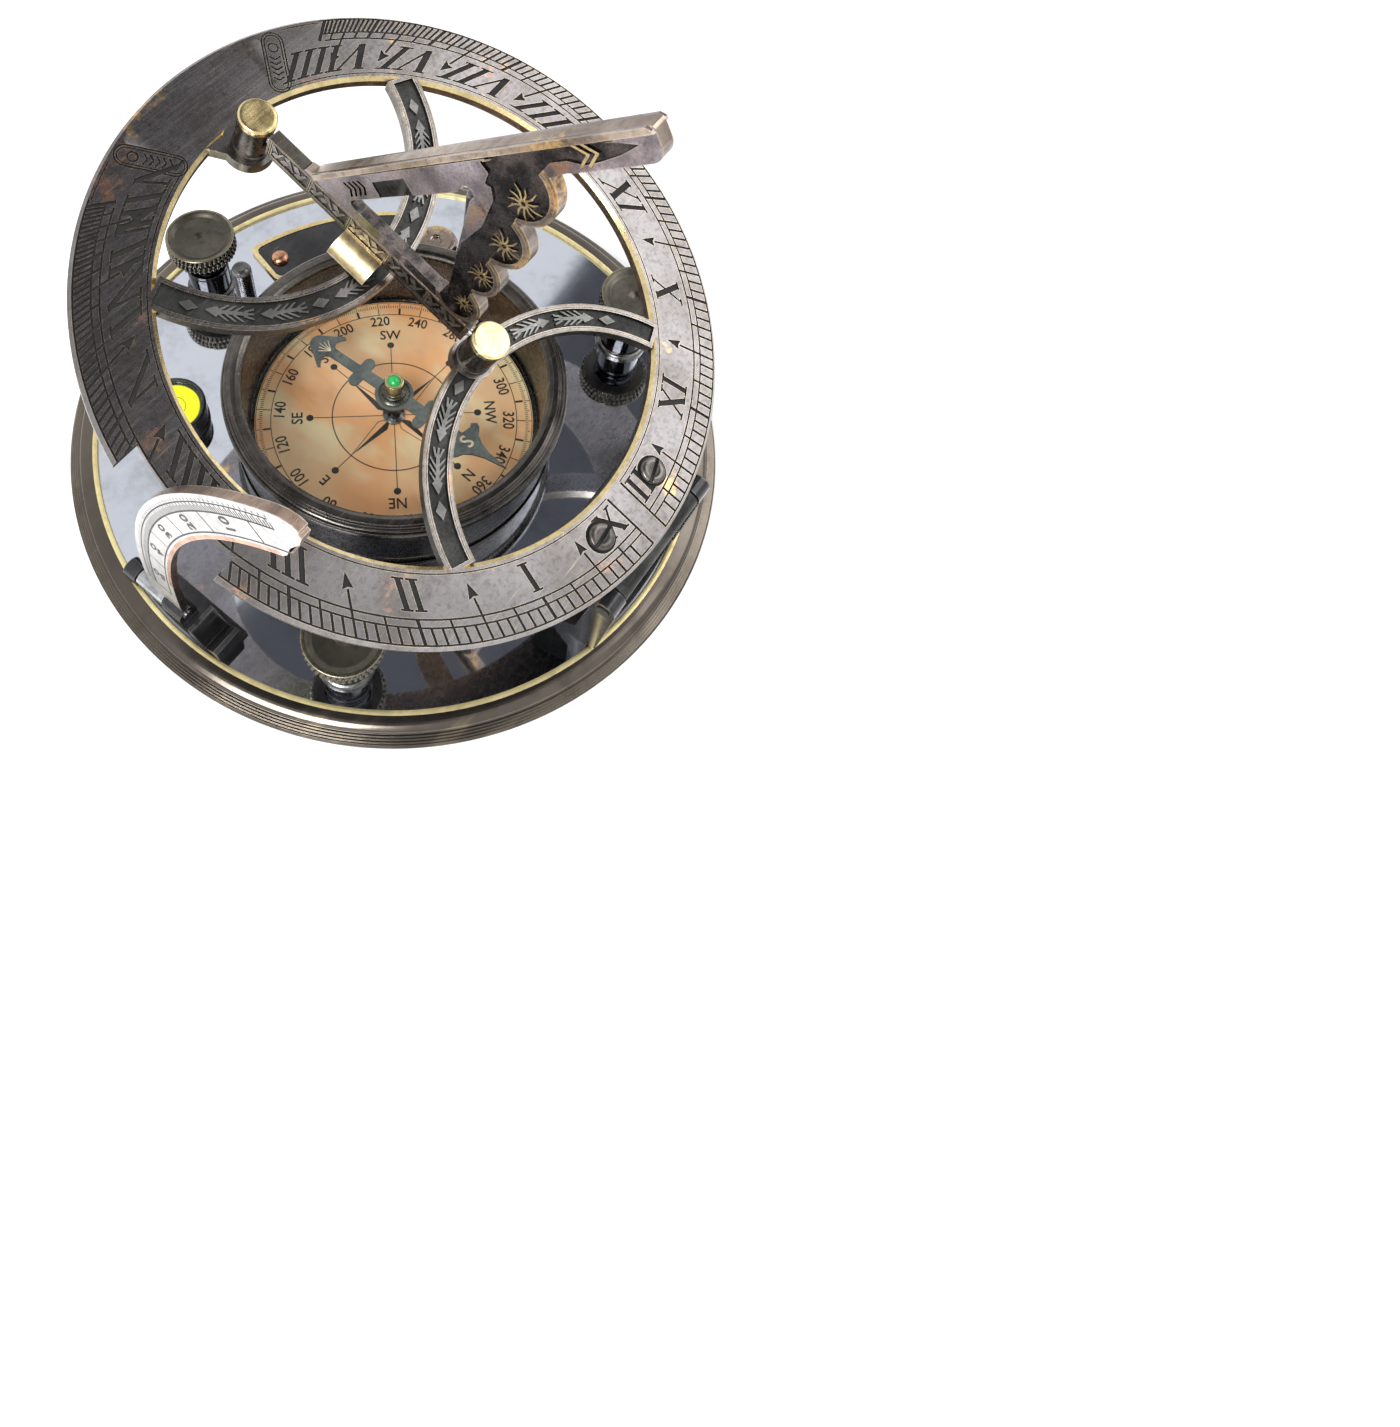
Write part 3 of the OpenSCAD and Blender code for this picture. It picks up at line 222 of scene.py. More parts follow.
def paint(name, main, dark, rough=(0.4, 0.6)):
    """Matt paint with faint patches and specks."""
    n = Nodes(name)
    broad = n.ramp(n.noise(0.25, 5, 0.6), 0.4, 0.65)
    fine = n.noise(2.5, 4, 0.6, seed=2)
    colour = n.mix(broad, main, dark)
    colour = n.mix(n.ramp(fine, 0.5, 0.8, 0, 0.3), colour, tuple(c * 0.6 for c in dark))
    n.shade(Base_Color=colour, Roughness=n.ramp(fine, 0.3, 0.7, *rough))
    n.bump(fine, 0.1, 0.03)
    return n.mat


def card_paper(name):
    """Copper-orange card with pale yellow and darker drifting blotches."""
    n = Nodes(name)
    a = n.noise(0.055, 3, 0.5, seed=4)
    b = n.noise(0.11, 3, 0.5, stretch=(1, 0.5, 1), turn=(0, 0, 0.8), seed=9)
    colour = n.mix(n.ramp(a, 0.38, 0.62), (1, 0.47, 0.21), (1, 0.6, 0.33))
    colour = n.mix(n.ramp(b, 0.48, 0.68, 0, 0.85), colour, (1, 0.79, 0.48))
    colour = n.mix(n.ramp(b, 0.26, 0.42, 0.6, 0), colour, (0.78, 0.31, 0.12))
    fine = n.noise(1.5, 4, 0.6)
    n.shade(Base_Color=colour, Roughness=n.ramp(fine, 0.3, 0.7, 0.3, 0.45))
    n.bump(fine, 0.05, 0.02)
    return n.mat


M = {
    "rim": metal("rim_bronze", ".145,.125,.105 .1,.086,.073 .4,.33,.22 .14,.22",
        patch=0.03, wear=0.5, speck=0.12, bump=0.01, grain=(0.05, 0.4, 0.4)),
    "mirror": metal("floor_mirror", ".6,.63,.7 .58,.61,.68 .66,.68,.73 .03,.07",
        patch=0.02, speck=0.12, wear=0, bump=0.008, grain=(0.02, 0.4, 0.4)),
    "bowl": metal("bowl_bronze", ".1,.09,.08 .045,.042,.04 .45,.38,.26 .2,.36"),
    "bezel": metal("bezel_bronze", ".13,.12,.11 .07,.065,.06 .5,.43,.31 .14,.3", wear=0.6, edge=0.15),
    "ring": metal("ring_bronze", ".26,.244,.246 .19,.174,.168 .7,.6,.44 .2,.32",
        patch=0.1, wear=1, edge=0.2, bump=0.13, spots=".8,.5,.2,.6,.85 .62,.33,.2,.6,.6"),
    "groove": metal("engraved_dark", ".016,.014,.013 .009,.008,.008 .06,.05,.04 .55,.75",
        wear=0, metallic=0.3),
    # Inner bevel of the hour ring: rubbed brass, its bright yellow partly a painted highlight
    "bright_edge": metal("brass_edge_and_highlight", ".86,.7,.36 .62,.49,.26 .95,.85,.6 .2,.36",
        patch=0.2, wear=0.3),
    "strap_edge": metal("strap_edge", ".2,.18,.155 .12,.105,.09 .72,.64,.44 .24,.4",
        patch=0.3, wear=0.8, edge=0.2),
    "bar": metal("bar_bronze", ".24,.21,.18 .12,.1,.09 .8,.7,.5 .24,.4", patch=0.3, wear=1, edge=0.22),
    "leaf": metal("bar_leaves", ".3,.28,.25 .14,.13,.12 .72,.66,.54 .26,.4", patch=0.5, wear=1, edge=0.12),
    "screw": metal("screw_head", ".2,.185,.17 .1,.09,.085 .55,.5,.42 .24,.4",
        patch=0.3, wear=0.9, edge=0.2),
    "knob": metal("knob_bronze", ".12,.11,.09 .08,.073,.06 .36,.31,.22 .3,.42",
        patch=0.12, wear=0.5, edge=0.2, bump=0.05, speck=0.6),
    "knob_rim": metal("knob_rim", ".26,.235,.17 .16,.14,.1 .8,.7,.48 .22,.36", patch=0.3, wear=0.3),
    "channel": metal("strap_channel", ".075,.075,.072 .035,.035,.034 .2,.2,.18 .4,.6", wear=0, speck=2),
    "motif": metal("strap_motif", ".25,.245,.235 .13,.13,.125 .5,.48,.43 .28,.45", speck=2, edge=0.12),
    "dark": metal("dark_bronze", ".13,.115,.1 .06,.055,.05 .46,.37,.24 .2,.38", edge=0.3),
    "neck": metal("gloss_black_bronze", ".05,.05,.055 .02,.02,.022 .3,.28,.25 .06,.16",
        wear=0.3, bump=0.06),
    "plate": metal("gnomon_plate_bronze", ".34,.295,.31 .13,.11,.12 .62,.52,.4 .12,.28",
        patch=0.14, speck=2.4, edge=0.3, spots=".5,.3,.17,.58,.6 .03,.03,.033,.6,.8"),
    "field": metal("gnomon_field", ".1,.085,.08 .022,.02,.022 .26,.22,.17 .16,.36",
        patch=0.3, speck=2.5, wear=0.3, bump=0.4),
    "style": metal("style_edge_bronze", ".42,.345,.28 .19,.145,.125 .8,.68,.44 .14,.3",
        patch=0.1, speck=0.6, bump=0.1, spots=".74,.5,.2,.56,.8"),
    "gilt": metal("gilt_strokes", ".6,.45,.23 .32,.23,.12 .8,.66,.38 .22,.4", patch=0.5),
    "rimline": metal("scallop_rim", ".28,.245,.225 .17,.125,.1 .86,.68,.38 .22,.4",
        patch=0.14, spots=".74,.48,.24,.56,.8"),
    "brass": metal("bright_brass", ".86,.7,.36 .66,.5,.24 .98,.9,.66 .16,.32",
        patch=0.2, wear=0.4, grain=(0.2, 6, 6)),
    "tab": metal("tab_brass", ".66,.54,.31 .28,.205,.12 .92,.82,.58 .28,.44",
        patch=0.16, wear=0.8, spots=".12,.08,.05,.62,.7"),
    # Near-white band on the base's inner lip: polished brass, made brighter with a painted highlight
    "brass_lip_and_highlight": metal("brass_lip_and_highlight", ".98,.86,.46 .84,.7,.36 1,.94,.66 .36,.5",
        patch=0.1, speck=0.4, wear=0, bump=0.05),
    "copper": metal("copper_rivet", ".78,.42,.26 .45,.22,.14 .95,.68,.45 .2,.35", patch=0.3),
    "silver": metal("silver_plate", ".68,.67,.665 .58,.57,.56 .82,.79,.75 .3,.42",
        patch=0.1, bump=0.04, wear=0.4, speck=0.7, grain=(0.5, 1, 1), spots=".6,.47,.4,.66,.5"),
    "steel": metal("steel", ".5,.51,.53 .28,.285,.3 .8,.8,.8 .16,.3", patch=0.25),
    "dark_steel": metal("dark_steel", ".17,.165,.16 .07,.07,.07 .5,.48,.44 .16,.34", patch=0.25),
    "blued": metal("blued_steel", ".2,.215,.205 .12,.13,.13 .36,.38,.36 .38,.55",
        patch=0.2, bump=0.08, wear=0.4, edge=0.15, metallic=0.6),
    "black": metal("black_metal", ".045,.045,.048 .02,.02,.022 .3,.28,.26 .12,.28",
        wear=0.5, metallic=0.7, bump=0.1, coat=0.2),
    "arc_edge": metal("arc_edge", ".42,.3,.23 .22,.16,.13 .85,.76,.66 .24,.4",
        patch=0.2, wear=1, edge=0.3),
    "jewel": metal("green_jewel", ".01,.62,.14 .005,.42,.08 .3,.9,.4 .1,.2",
        wear=0, metallic=0, bump=0.03, coat=0.2),
    "tick": paint("filled_line", (0.07, 0.065, 0.065), (0.04, 0.037, 0.037), (0.6, 0.8)),
    "ink": paint("card_ink", (0.045, 0.035, 0.03), (0.025, 0.02, 0.018)),
    "pale": paint("pale_mark", (0.8, 0.66, 0.48), (0.62, 0.46, 0.32)),
    "fluid": paint("level_fluid", (1, 0.96, 0), (0.9, 0.9, 0), (0.6, 0.7)),
    "card": card_paper("card_copper"),
    "glass": thin_glass("cover_glass"),
    "bubble": glassy("level_bubble", (0.98, 1, 0.85), 0.02, 1.02),
}


# ---------------------------------------------------------------- mesh tools
def linked(name, data):
    obj = bpy.data.objects.new(name, data)
    scene.collection.objects.link(obj)
    return obj


def final_mesh(obj):
    """Mesh of an object after its modifiers, or of a text."""
    bpy.context.view_layer.update()
    return bpy.data.meshes.new_from_object(obj.evaluated_get(bpy.context.evaluated_depsgraph_get()))


def make(name, verts, faces, mats, index=None, frame_of=FLAT, smooth=30):
    """Object of the scene from corners in millimetres; smooth is the sharpest angle that stays smooth."""
    mesh = bpy.data.meshes.new(name)
    mesh.from_pydata([frame_of @ Vector((x * MM, y * MM, z * MM)) for x, y, z in verts], [], faces)
    for key in mats:
        mesh.materials.append(M[key])
    if index:
        mesh.polygons.foreach_set("material_index", index)
    mesh.polygons.foreach_set("use_smooth", [True] * len(mesh.polygons))
    mesh.validate()
    mesh.set_sharp_from_angle(angle=radians(smooth))
    mesh.update()
    return linked(name, mesh)


def own(obj, body, slot, *nodes):
    """Puts a piece on its body, in place of the nodes named; slot is not used."""
    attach(obj, body)
    if nodes:
        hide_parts(*nodes)
    return obj


def fillet(points, radius, steps=4):
    """Rounds the inner corners of an open line of (r, z) points."""
    out = [points[0]]
    for i in range(1, len(points) - 1):
        p = Vector(points[i])
        a, b = Vector(points[i - 1]) - p, Vector(points[i + 1]) - p
        cut = min(radius, a.length * 0.45, b.length * 0.45)
        if cut < 0.01:
            out.append(tuple(p))
            continue
        p0, p1 = p + a.normalized() * cut, p + b.normalized() * cut
        for k in range(steps + 1):
            t = k / steps
            out.append(tuple(p0 * (1 - t) ** 2 + p * 2 * t * (1 - t) + p1 * t * t))
    return out + [points[-1]]


def lathe(name, profile, mats, frame_of, seg, pick=None, radius=0.12):
    """Turns an outline of (r, z) round z; pick(r, z) gives the material index of each band."""
    line = fillet(profile, radius)
    verts, faces, index, rings = [], [], [], []
    for r, z in line:
        if r < 1e-6:
            rings.append([len(verts)])
            verts.append((0, 0, z))
            continue
        start = len(verts)
        for i in range(seg):
            a = TAU * i / seg
            verts.append((r * cos(a), r * sin(a), z))
        rings.append(list(range(start, start + seg)))
    for (r0, z0), (r1, z1), lo, hi in zip(line, line[1:], rings, rings[1:]):
        mat = pick((r0 + r1) / 2, (z0 + z1) / 2) if pick else 0
        for i in range(seg):
            j = (i + 1) % seg
            if len(lo) == 1 and len(hi) == 1:
                continue
            if len(lo) == 1:
                faces.append((lo[0], hi[j], hi[i]))
            elif len(hi) == 1:
                faces.append((lo[i], lo[j], hi[0]))
            else:
                faces.append((lo[i], lo[j], hi[j], hi[i]))
            index.append(mat)
    return make(name, verts, faces, mats, index, frame_of)


def turned(name, profile, mats, frame_of, body, slot, *nodes, **shape):
    return own(lathe(name, profile, mats, frame_of, **shape), body, slot, *nodes)


def polar(a, r, cx=0, cy=0):
    """Point at angle a in degrees and radius r round (cx, cy)."""
    a = radians(a)
    return (cx + r * cos(a), cy + r * sin(a))


def arc_points(cx, cy, r, a0, a1, n):
    return [polar(a0 + (a1 - a0) * k / n, r, cx, cy) for k in range(n + 1)]


def circle(cx, cy, r, n):
    return [(cx + r * cos(TAU * i / n), cy + r * sin(TAU * i / n)) for i in range(n)]


def box(x0, y0, x1, y1):
    return [(x0, y0), (x1, y0), (x1, y1), (x0, y1)]


def stroke(p, q, w, w2=None):
    """Bar from p to q, w wide at p and w2 at q."""
    p, q = Vector(p), Vector(q)
    side = (q - p).normalized()
    side = Vector((-side.y, side.x)) / 2
    w2 = w if w2 is None else w2
    return [tuple(p - side * w), tuple(q - side * w2), tuple(q + side * w2), tuple(p + side * w)]


def band(cx, cy, r, w, a0, a1, step=3):
    """Piece of a ring, w wide round radius r, between two angles in degrees."""
    n = max(2, int(abs(a1 - a0) / step))
    return arc_points(cx, cy, r + w / 2, a0, a1, n) + arc_points(cx, cy, r - w / 2, a0, a1, n)[::-1]


def placed(points, origin, right, up=None):
    """Moves a drawing so that its axes are right and up at origin."""
    ox, oy = origin
    rx, ry = right
    ux, uy = up if up else (-ry, rx)
    return [(ox + u * rx + v * ux, oy + u * ry + v * uy) for u, v in points]


def terrace(name, shapes, mats, thick, frame_of, both=False, lift=None, side=None):
    """Stepped sheet. shapes holds (points, height or None for a hole, material index); later shapes win.
    The underside is flat at -thick, or the mirror image of the top when both is set. lift changes the
    height of a corner; side is the material of the outer walls, or a function of their place."""
    coords, edges = [], []
    for points, _, _ in shapes:
        n = len(coords)
        edges += [(n + k, n + (k + 1) % len(points)) for k in range(len(points))]
        coords.extend(Vector(p) for p in points)
    pts, _, tris, _, _, _ = delaunay_2d_cdt(coords, edges, [], 0, 1e-4)
    corner = np.array([[pts[i][:] for i in tri] for tri in tris])
    mid = corner.mean(axis=1)
    top = np.full(len(tris), -1)
    for k, (points, _, _) in enumerate(shapes):
        p = np.array([tuple(q)[:2] for q in points])
        near = np.nonzero(((mid >= p.min(axis=0)) & (mid <= p.max(axis=0))).all(axis=1))[0]
        x, y = mid[near, 0][:, None], mid[near, 1][:, None]
        q = np.roll(p, -1, axis=0)
        cross = (p[:, 1] > y) != (q[:, 1] > y)
        with np.errstate(divide="ignore", invalid="ignore"):
            hit = cross & (x < (q[:, 0] - p[:, 0]) * (y - p[:, 1]) / (q[:, 1] - p[:, 1]) + p[:, 0])
        top[near[hit.sum(axis=1) % 2 == 1]] = k
    level, kept = [], []
    for tri, which in zip(tris, top):
        if which < 0 or shapes[which][1] is None:
            continue
        a, b, c = (pts[i] for i in tri)
        turn = (b - a).cross(c - a)
        if abs(turn) < 1e-9:
            continue
        kept.append(tuple(tri) if turn > 0 else tuple(tri[::-1]))
        level.append(int(which))
    verts, faces, index, seen = [], [], [], {}

    def vert(i, z):
        key = (i, round(z, 4))
        if key not in seen:
            seen[key] = len(verts)
            verts.append((pts[i].x, pts[i].y, z))
        return seen[key]

    def top_z(t, i):
        z = shapes[level[t]][1]
        return lift(pts[i].x, pts[i].y, z, level[t]) if lift else z

    def low_z(t, i):
        return -top_z(t, i) if both else -thick

    def face(corners, mat):
        corners = [c for k, c in enumerate(corners) if c != corners[k - 1]]
        if len(set(corners)) == len(corners) > 2:
            faces.append(tuple(corners))
            index.append(mat)

    owner = {}
    for t, tri in enumerate(kept):
        for k in range(3):
            owner[(tri[k], tri[(k + 1) % 3])] = t
    for t, tri in enumerate(kept):
        mat = shapes[level[t]][2]
        face([vert(i, top_z(t, i)) for i in tri], mat)
        face([vert(i, low_z(t, i)) for i in tri[::-1]], mat if both else 0)
        for k in range(3):
            i, j = tri[k], tri[(k + 1) % 3]
            other = owner.get((j, i))
            if other is None:
                edge_mat = side(*((pts[i] + pts[j]) / 2)) if callable(side) else side
                wall = [vert(i, low_z(t, i)), vert(j, low_z(t, j)), vert(j, top_z(t, j)), vert(i, top_z(t, i))]
                face(wall, mat if edge_mat is None else edge_mat)
                continue
            zi, zj, oi, oj = top_z(t, i), top_z(t, j), top_z(other, i), top_z(other, j)
            if zi + zj > oi + oj + 1e-4:
                step_mat = shapes[level[other]][2]
                face([vert(i, oi), vert(j, oj), vert(j, zj), vert(i, zi)], step_mat)
                if both:
                    face([vert(i, -zi), vert(j, -zj), vert(j, -oj), vert(i, -oi)], step_mat)
    return make(name, verts, faces, mats, index, frame_of)


LETTER_DEPTH = 0.03
LETTER_WEIGHT = 0.012


def lettering(name, items, mat, frame_of):
    """Flat letters: items are (text, x, y, size, heading in degrees, z, squeeze)."""
    bm = bmesh.new()
    for text, x, y, size, heading, z, squeeze in items:
        curve = bpy.data.curves.new(name + "_c", "FONT")
        curve.body = text
        curve.size = size * MM
        curve.align_x, curve.align_y = "CENTER", "CENTER"
        curve.extrude = LETTER_DEPTH / 2 * MM
        curve.offset = LETTER_WEIGHT * size * MM
        curve.resolution_u = 3
        tmp = linked(name + "_t", curve)
        mesh = final_mesh(tmp)
        mesh.transform(frame_of @ at(x, y, z) @ Matrix.Rotation(radians(heading), 4, "Z") @ Matrix.Diagonal((squeeze,
                1, 1, 1)))
        bm.from_mesh(mesh)
        bpy.data.objects.remove(tmp)
        bpy.data.curves.remove(curve)
        bpy.data.meshes.remove(mesh)
    mesh = bpy.data.meshes.new(name)
    bm.to_mesh(mesh)
    bm.free()
    mesh.materials.append(M[mat])
    return linked(name, mesh)


# ---------------------------------------------------------------- base
FLOOR = 5.6
# BASE_LINE is the band of the inner lip: brass with a painted highlight
BASE_RIM, BASE_FLOOR, BASE_LINE = range(3)
SHOULDER_R, SHOULDER_Z = 58.15, 5.05
base_line = data("0,3 63.2,3 63.48,3.3 63.48,3.75 63.1,4 63.1,4.08 62.75,4.12 62.75,4.4 62.3,4.45 62.3,4.75 "
        "61.85,4.8 61.85,5.02") + [(61.4, SHOULDER_Z)]
base_line += [(SHOULDER_R + 3.2 * cos(radians(a)), SHOULDER_Z + 1.2 * sin(radians(a))) for a in range(10, 91, 10)]
base_line += [(57.75, 6.2), (57.65, 6.1), (57.65, FLOOR), (31.35, FLOOR), (31.05, FLOOR - 0.1), (31.05, 3.8),
        (0, 3.8)]


def base_pick(r, z):
    """Polished floor, the bright brass lip round it (its brightness partly a painted highlight), or dark rim and
    underside.
    """
    if r < 57.6:
        return BASE_FLOOR if z > 5.55 else BASE_RIM
    return BASE_LINE if r < 58.55 else BASE_RIM


turned("round_base", base_line, ["rim", "mirror", "brass_lip_and_highlight"], FLAT, "root", "base_bronze", "base_plate", seg=320,
        pick=base_pick, radius=0.09)

bowl_line = data("0,3.8 31,3.8 31,6.2 31,7.4 30.9,7.5 31,7.6 31,16.6 31.4,17 31.9,17.9 32,18.4 32,19.6 31.7,20 "
        "29.45,20 29.45,19.3 28.4,19.3 28.4,4.8 0,4.8")
turned("turned_bowl", bowl_line, ["bowl"], FLAT, "root", "base_bronze", "compass_bowl", seg=256)
bezel_line = data("28.2,20 31.4,20 31.4,20.35 31.1,20.55 30.75,20.55 30.7,20.7 30.35,20.72 30.3,20.95 30.1,21 "
        "29.2,21 28.6,20.7 28.2,20.4 28.2,20")
turned("stepped_bezel", bezel_line, ["bezel"], FLAT, "root", "base_bronze", "compass_bezel", seg=256, radius=0.08)

# ---------------------------------------------------------------- compass card
CARD = at(0, 0, 5.3) @ Matrix.Rotation(radians(-3.3), 4, "Z")
INK_Z = 0.03
SCALE_R, ROSE_R = 26, 12.2


def card_angle(heading):
    """Headings run clockwise from N, which lies at -90 degrees in the card's frame."""
    return -90 - heading


ink = [band(0, 0, r, w, 45 * q, 45 * q + 45.2) for r, w in ((24.3, 0.16), (ROSE_R, 0.22), (27.3, 0.12))
        for q in range(8)]
for k in range(36):
    a = card_angle(10 * k)
    ink.append(band(0, 0, 25.15, 1.5, a - 0.5, a + 0.5, 0.5) if k % 2 else stroke(polar(a, 24.3), polar(a, SCALE_R),
            0.18))
for k in range(360):
    length = 1.3 if k % 10 == 0 else (0.95 if k % 5 == 0 else 0.6)
    ink.append(stroke(polar(k, SCALE_R), polar(k, SCALE_R + length), 0.13))
for k in range(8):
    a = card_angle(45 * k)
    if k % 2:
        ink.append(stroke(polar(a, 1.2), polar(a, 15.9), 0.16))
    else:
        # Compass point: one half filled, the other in outline
        right = polar(a, 1)
        corner = placed([(3.2, -1.25)], (0, 0), right)[0]
        ink += [stroke(polar(a, ROSE_R), polar(a, 15.9), 0.16), placed([(1, 0), (3.2, 1.25), (ROSE_R, 0)], (0, 0),
                right), stroke(right, corner, 0.13), stroke(corner, polar(a, ROSE_R), 0.13)]
    ink.append(circle(*polar(a, 16.6), 0.72, 16))
own(terrace("card_printing", [(poly, INK_Z, 0) for poly in ink], ["ink"], 0, CARD), "root", "copper")
words = []
for k, text in enumerate(("N", "NE", "E", "SE", "S", "SW", "W", "NW")):
    a = card_angle(45 * k)
    words.append((text, *polar(a, 19.3 if len(text) == 1 else 19), 3.1, a - 90, INK_Z, 0.92))
for k in range(18):
    a = card_angle(20 * k)
    words.append((str(20 * k if k else 360), *polar(a, 22.55), 3.15, a - 90, INK_Z, 0.86))
own(lettering("card_numbers", words, "ink", CARD), "root", "copper")

# ---------------------------------------------------------------- needle
NEEDLE = at(0, 0, 13.3) @ Matrix.Rotation(radians(-88.4), 4, "Z")
NEEDLE_T = 0.5
barb = data("15.2,1 15.7,2.8 15.35,3.7 16.25,4.4 17,4 17.4,3.5 18,2.4 19.4,1.45 21.5,.7 25.95,0")
hook = data("-20.4,0 -20,1.2 -18.8,2 -17.4,2.9 -16.3,3.75 -15.4,4.3 -14.9,3.95 -15.5,3.2 -15.95,2.2 -15.8,1.4 "
        "-15.1,1")
arms = data("-13.4,.95 -9.2,1 -6.7,1.1 -3,1.15 3,1.35 6.3,1.2 8.6,1.15 9.4,.95 13.4,.95")
half = hook + arms + barb
needle = [half + [(x, -y) for x, y in half[-2:0:-1]], circle(0, 0, 3.7, 48)]
for x, r in ((7.35, 1.1), (-7.85, 1.15)):
    needle += [box(x - r, -2.3, x + r, 2.3), circle(x, 2.3, r, 24), circle(x, -2.3, r, 24)]
shapes = [(poly, NEEDLE_T, 0) for poly in needle] + [(circle(0, 0, 1.23, 32), None, 0)]
own(terrace("pierced_needle", shapes, ["blued"], 0, NEEDLE), "needle", "blued_steel", "compass_needle")
own(lettering("needle_letter", [("S", 17.15, 0, 4, 90, NEEDLE_T + 0.015, 0.9)], "pale", NEEDLE), "needle",
        "blued_steel")
fan = [(stroke((-15.6, 0), (-18.4 + 0.42 * abs(k), 0.75 * k), 0.16), NEEDLE_T + 0.03, 0) for k in range(-2, 3)]
own(terrace("needle_fan", fan, ["pale"], -NEEDLE_T, NEEDLE), "needle", "blued_steel")
hub_line = data(".85,13 1.2,13 1.2,13.8 3,13.8 3.05,14.1 2.6,14.35 2.35,14.4 2.3,14.8 2,14.95 1.68,15 1.65,17.7 "
        "1.8,17.85 1.8,18.1 1.6,18.15 1.23,18.15 1.23,17.6 .85,17.6")
turned("needle_cap", hub_line, ["brass", "dark"], FLAT, "needle", "brass", "needle_hub", seg=72, pick=lambda r, z: 1
        if z < 15 else 0, radius=0.06)

# ---------------------------------------------------------------- hour ring
RING_OUT, RING_IN = 53.4, 41.06
OUT_BEVEL, IN_BEVEL = 52.8, 41.66
DEEP = -0.22
SCREW_X, SCREW_Y = 7.5, -45.3
PILLAR_NOON, PILLAR_NIGHT = -11.4, 37.25
STYLE_X, STYLE_Y = 1.5, 31
FACE, CUT, BRIGHT, EDGE, CHANNEL, MOTIF = range(6)


def ring_point(phi, r):
    """Point of the ring, phi degrees from noon."""
    return (r * sin(radians(phi)), -r * cos(radians(phi)))


def ring_band(r, w, phi0, phi1):
    return band(0, 0, r, w, phi0 - 90, phi1 - 90, 1.5)


def style_foot(sign):
    """Foot of one edge of the style, where hour lines start; sign is 1 for morning and -1 for afternoon."""
    return Vector((STYLE_X * sign, STYLE_Y))


def hour_dir(h, sign):
    a = radians(15 * h)
    return Vector((sign * sin(a), -cos(a)))


def meet(p, d, r):
    """Where the line from p along d meets the circle of radius r."""
    b = p.dot(d)
    return p + d * (-b + sqrt(max(0, b * b - p.length_squared + r * r)))


def hour_mark(h, sign, r0, r1, w):
    """Stroke on the line of hour h from radius r0 to r1."""
    p, d = style_foot(sign), hour_dir(h, sign)
    return stroke(meet(p, d, r0), meet(p, d, r1), w)


NUMERALS = {"I": [box(-0.36, 0, 0.36, 4.7), box(-0.75, 0, 0.75, 0.3), box(-0.75, 4.4, 0.75, 4.7)],
            "V": [stroke((-1.1, 4.6), (0.15, 0), 0.78), stroke((1.2, 4.6), (0.15, 0), 0.34),
                  box(-1.8, 4.4, -0.5, 4.7), box(0.6, 4.4, 1.75, 4.7)],
            "X": [stroke((-1.25, 4.6), (1.25, 0.1), 0.78), stroke((1.2, 4.6), (-1.2, 0.1), 0.34),
                  box(-1.85, 4.4, -0.6, 4.7), box(0.65, 4.4, 1.75, 4.7), box(-1.75, 0, -0.65, 0.3),
                  box(0.6, 0, 1.85, 0.3)]}
WIDTHS = {"I": 1.7, "V": 3.5, "X": 3.7}
NUMERAL_WIDE, NUMERAL_HIGH, NUMERAL_FOOT = 1.18, 1.02, 47.8


def numeral(text, start, d):
    """Numeral with stems along d and its foot and top on two circles; start is a point of its middle line."""
    u, out = -sum(WIDTHS[c] for c in text) / 2, []
    right = Vector((-d.y, d.x))
    for c in text:
        mid = u + WIDTHS[c] / 2
        for poly in NUMERALS[c]:
            out.append([tuple(meet(start + right * (x + mid) * NUMERAL_WIDE, d, NUMERAL_FOOT - y * NUMERAL_HIGH))
                    for x, y in poly])
        u += WIDTHS[c]
    return out


cuts = []
AM = ("XI", "X", "IX", "VIII", "VII", "VI", "V", "IIII")
PM = ("I", "II", "III", "IIII", "V", "VI", "VII", "VIII")
for sign, names in ((1, AM), (-1, PM)):
    cuts += [hour_mark(k / 12, sign, 50.15, 52.5, 0.4) for k in range(2, 97)]
    cuts += [hour_mark(k / 4, sign, 48.95, 50.1, 0.36) for k in range(1, 33)]
    for k, name in enumerate(names, 1):
        cuts.append(hour_mark(k, sign, 48.9, 52.6, 0.55))
        cuts += numeral(name, style_foot(sign), hour_dir(k, sign))
        # Arrow at the half hour
        cuts.append(hour_mark(k - 0.5, sign, 52.5, 46.2, 0.38))
        d = hour_dir(k - 0.5, sign)
        cuts.append(placed(data("-.85,0 0,.3 .85,0 0,2.5"), tuple(meet(style_foot(sign), d, 46.2)), (-d.y, d.x),
                tuple(-d)))
    cuts.append(stroke((sign * 1.9, -42.4), (sign * 1.9, -52.7), 0.4))
LADDER_END = 151
for r, w, lo, hi in ((52.62, 0.26, 2.2, LADDER_END), (50.1, 0.28, 2.2, LADDER_END), (48.9, 0.28, 2.2, LADDER_END),
        (42.25, 0.2, 2.6, 164.6)):
    for k in range(12):
        a, b = lo + (hi - lo) * k / 12, lo + (hi - lo) * (k + 1) / 12
        cuts += [ring_band(r, w, a, b + 0.05), ring_band(r, w, -b - 0.05, -a)]
noon = Vector((0, -1))
cuts += numeral("X", Vector((-4.6, 0)), noon) + numeral("II", Vector((4.2, 0)), noon)
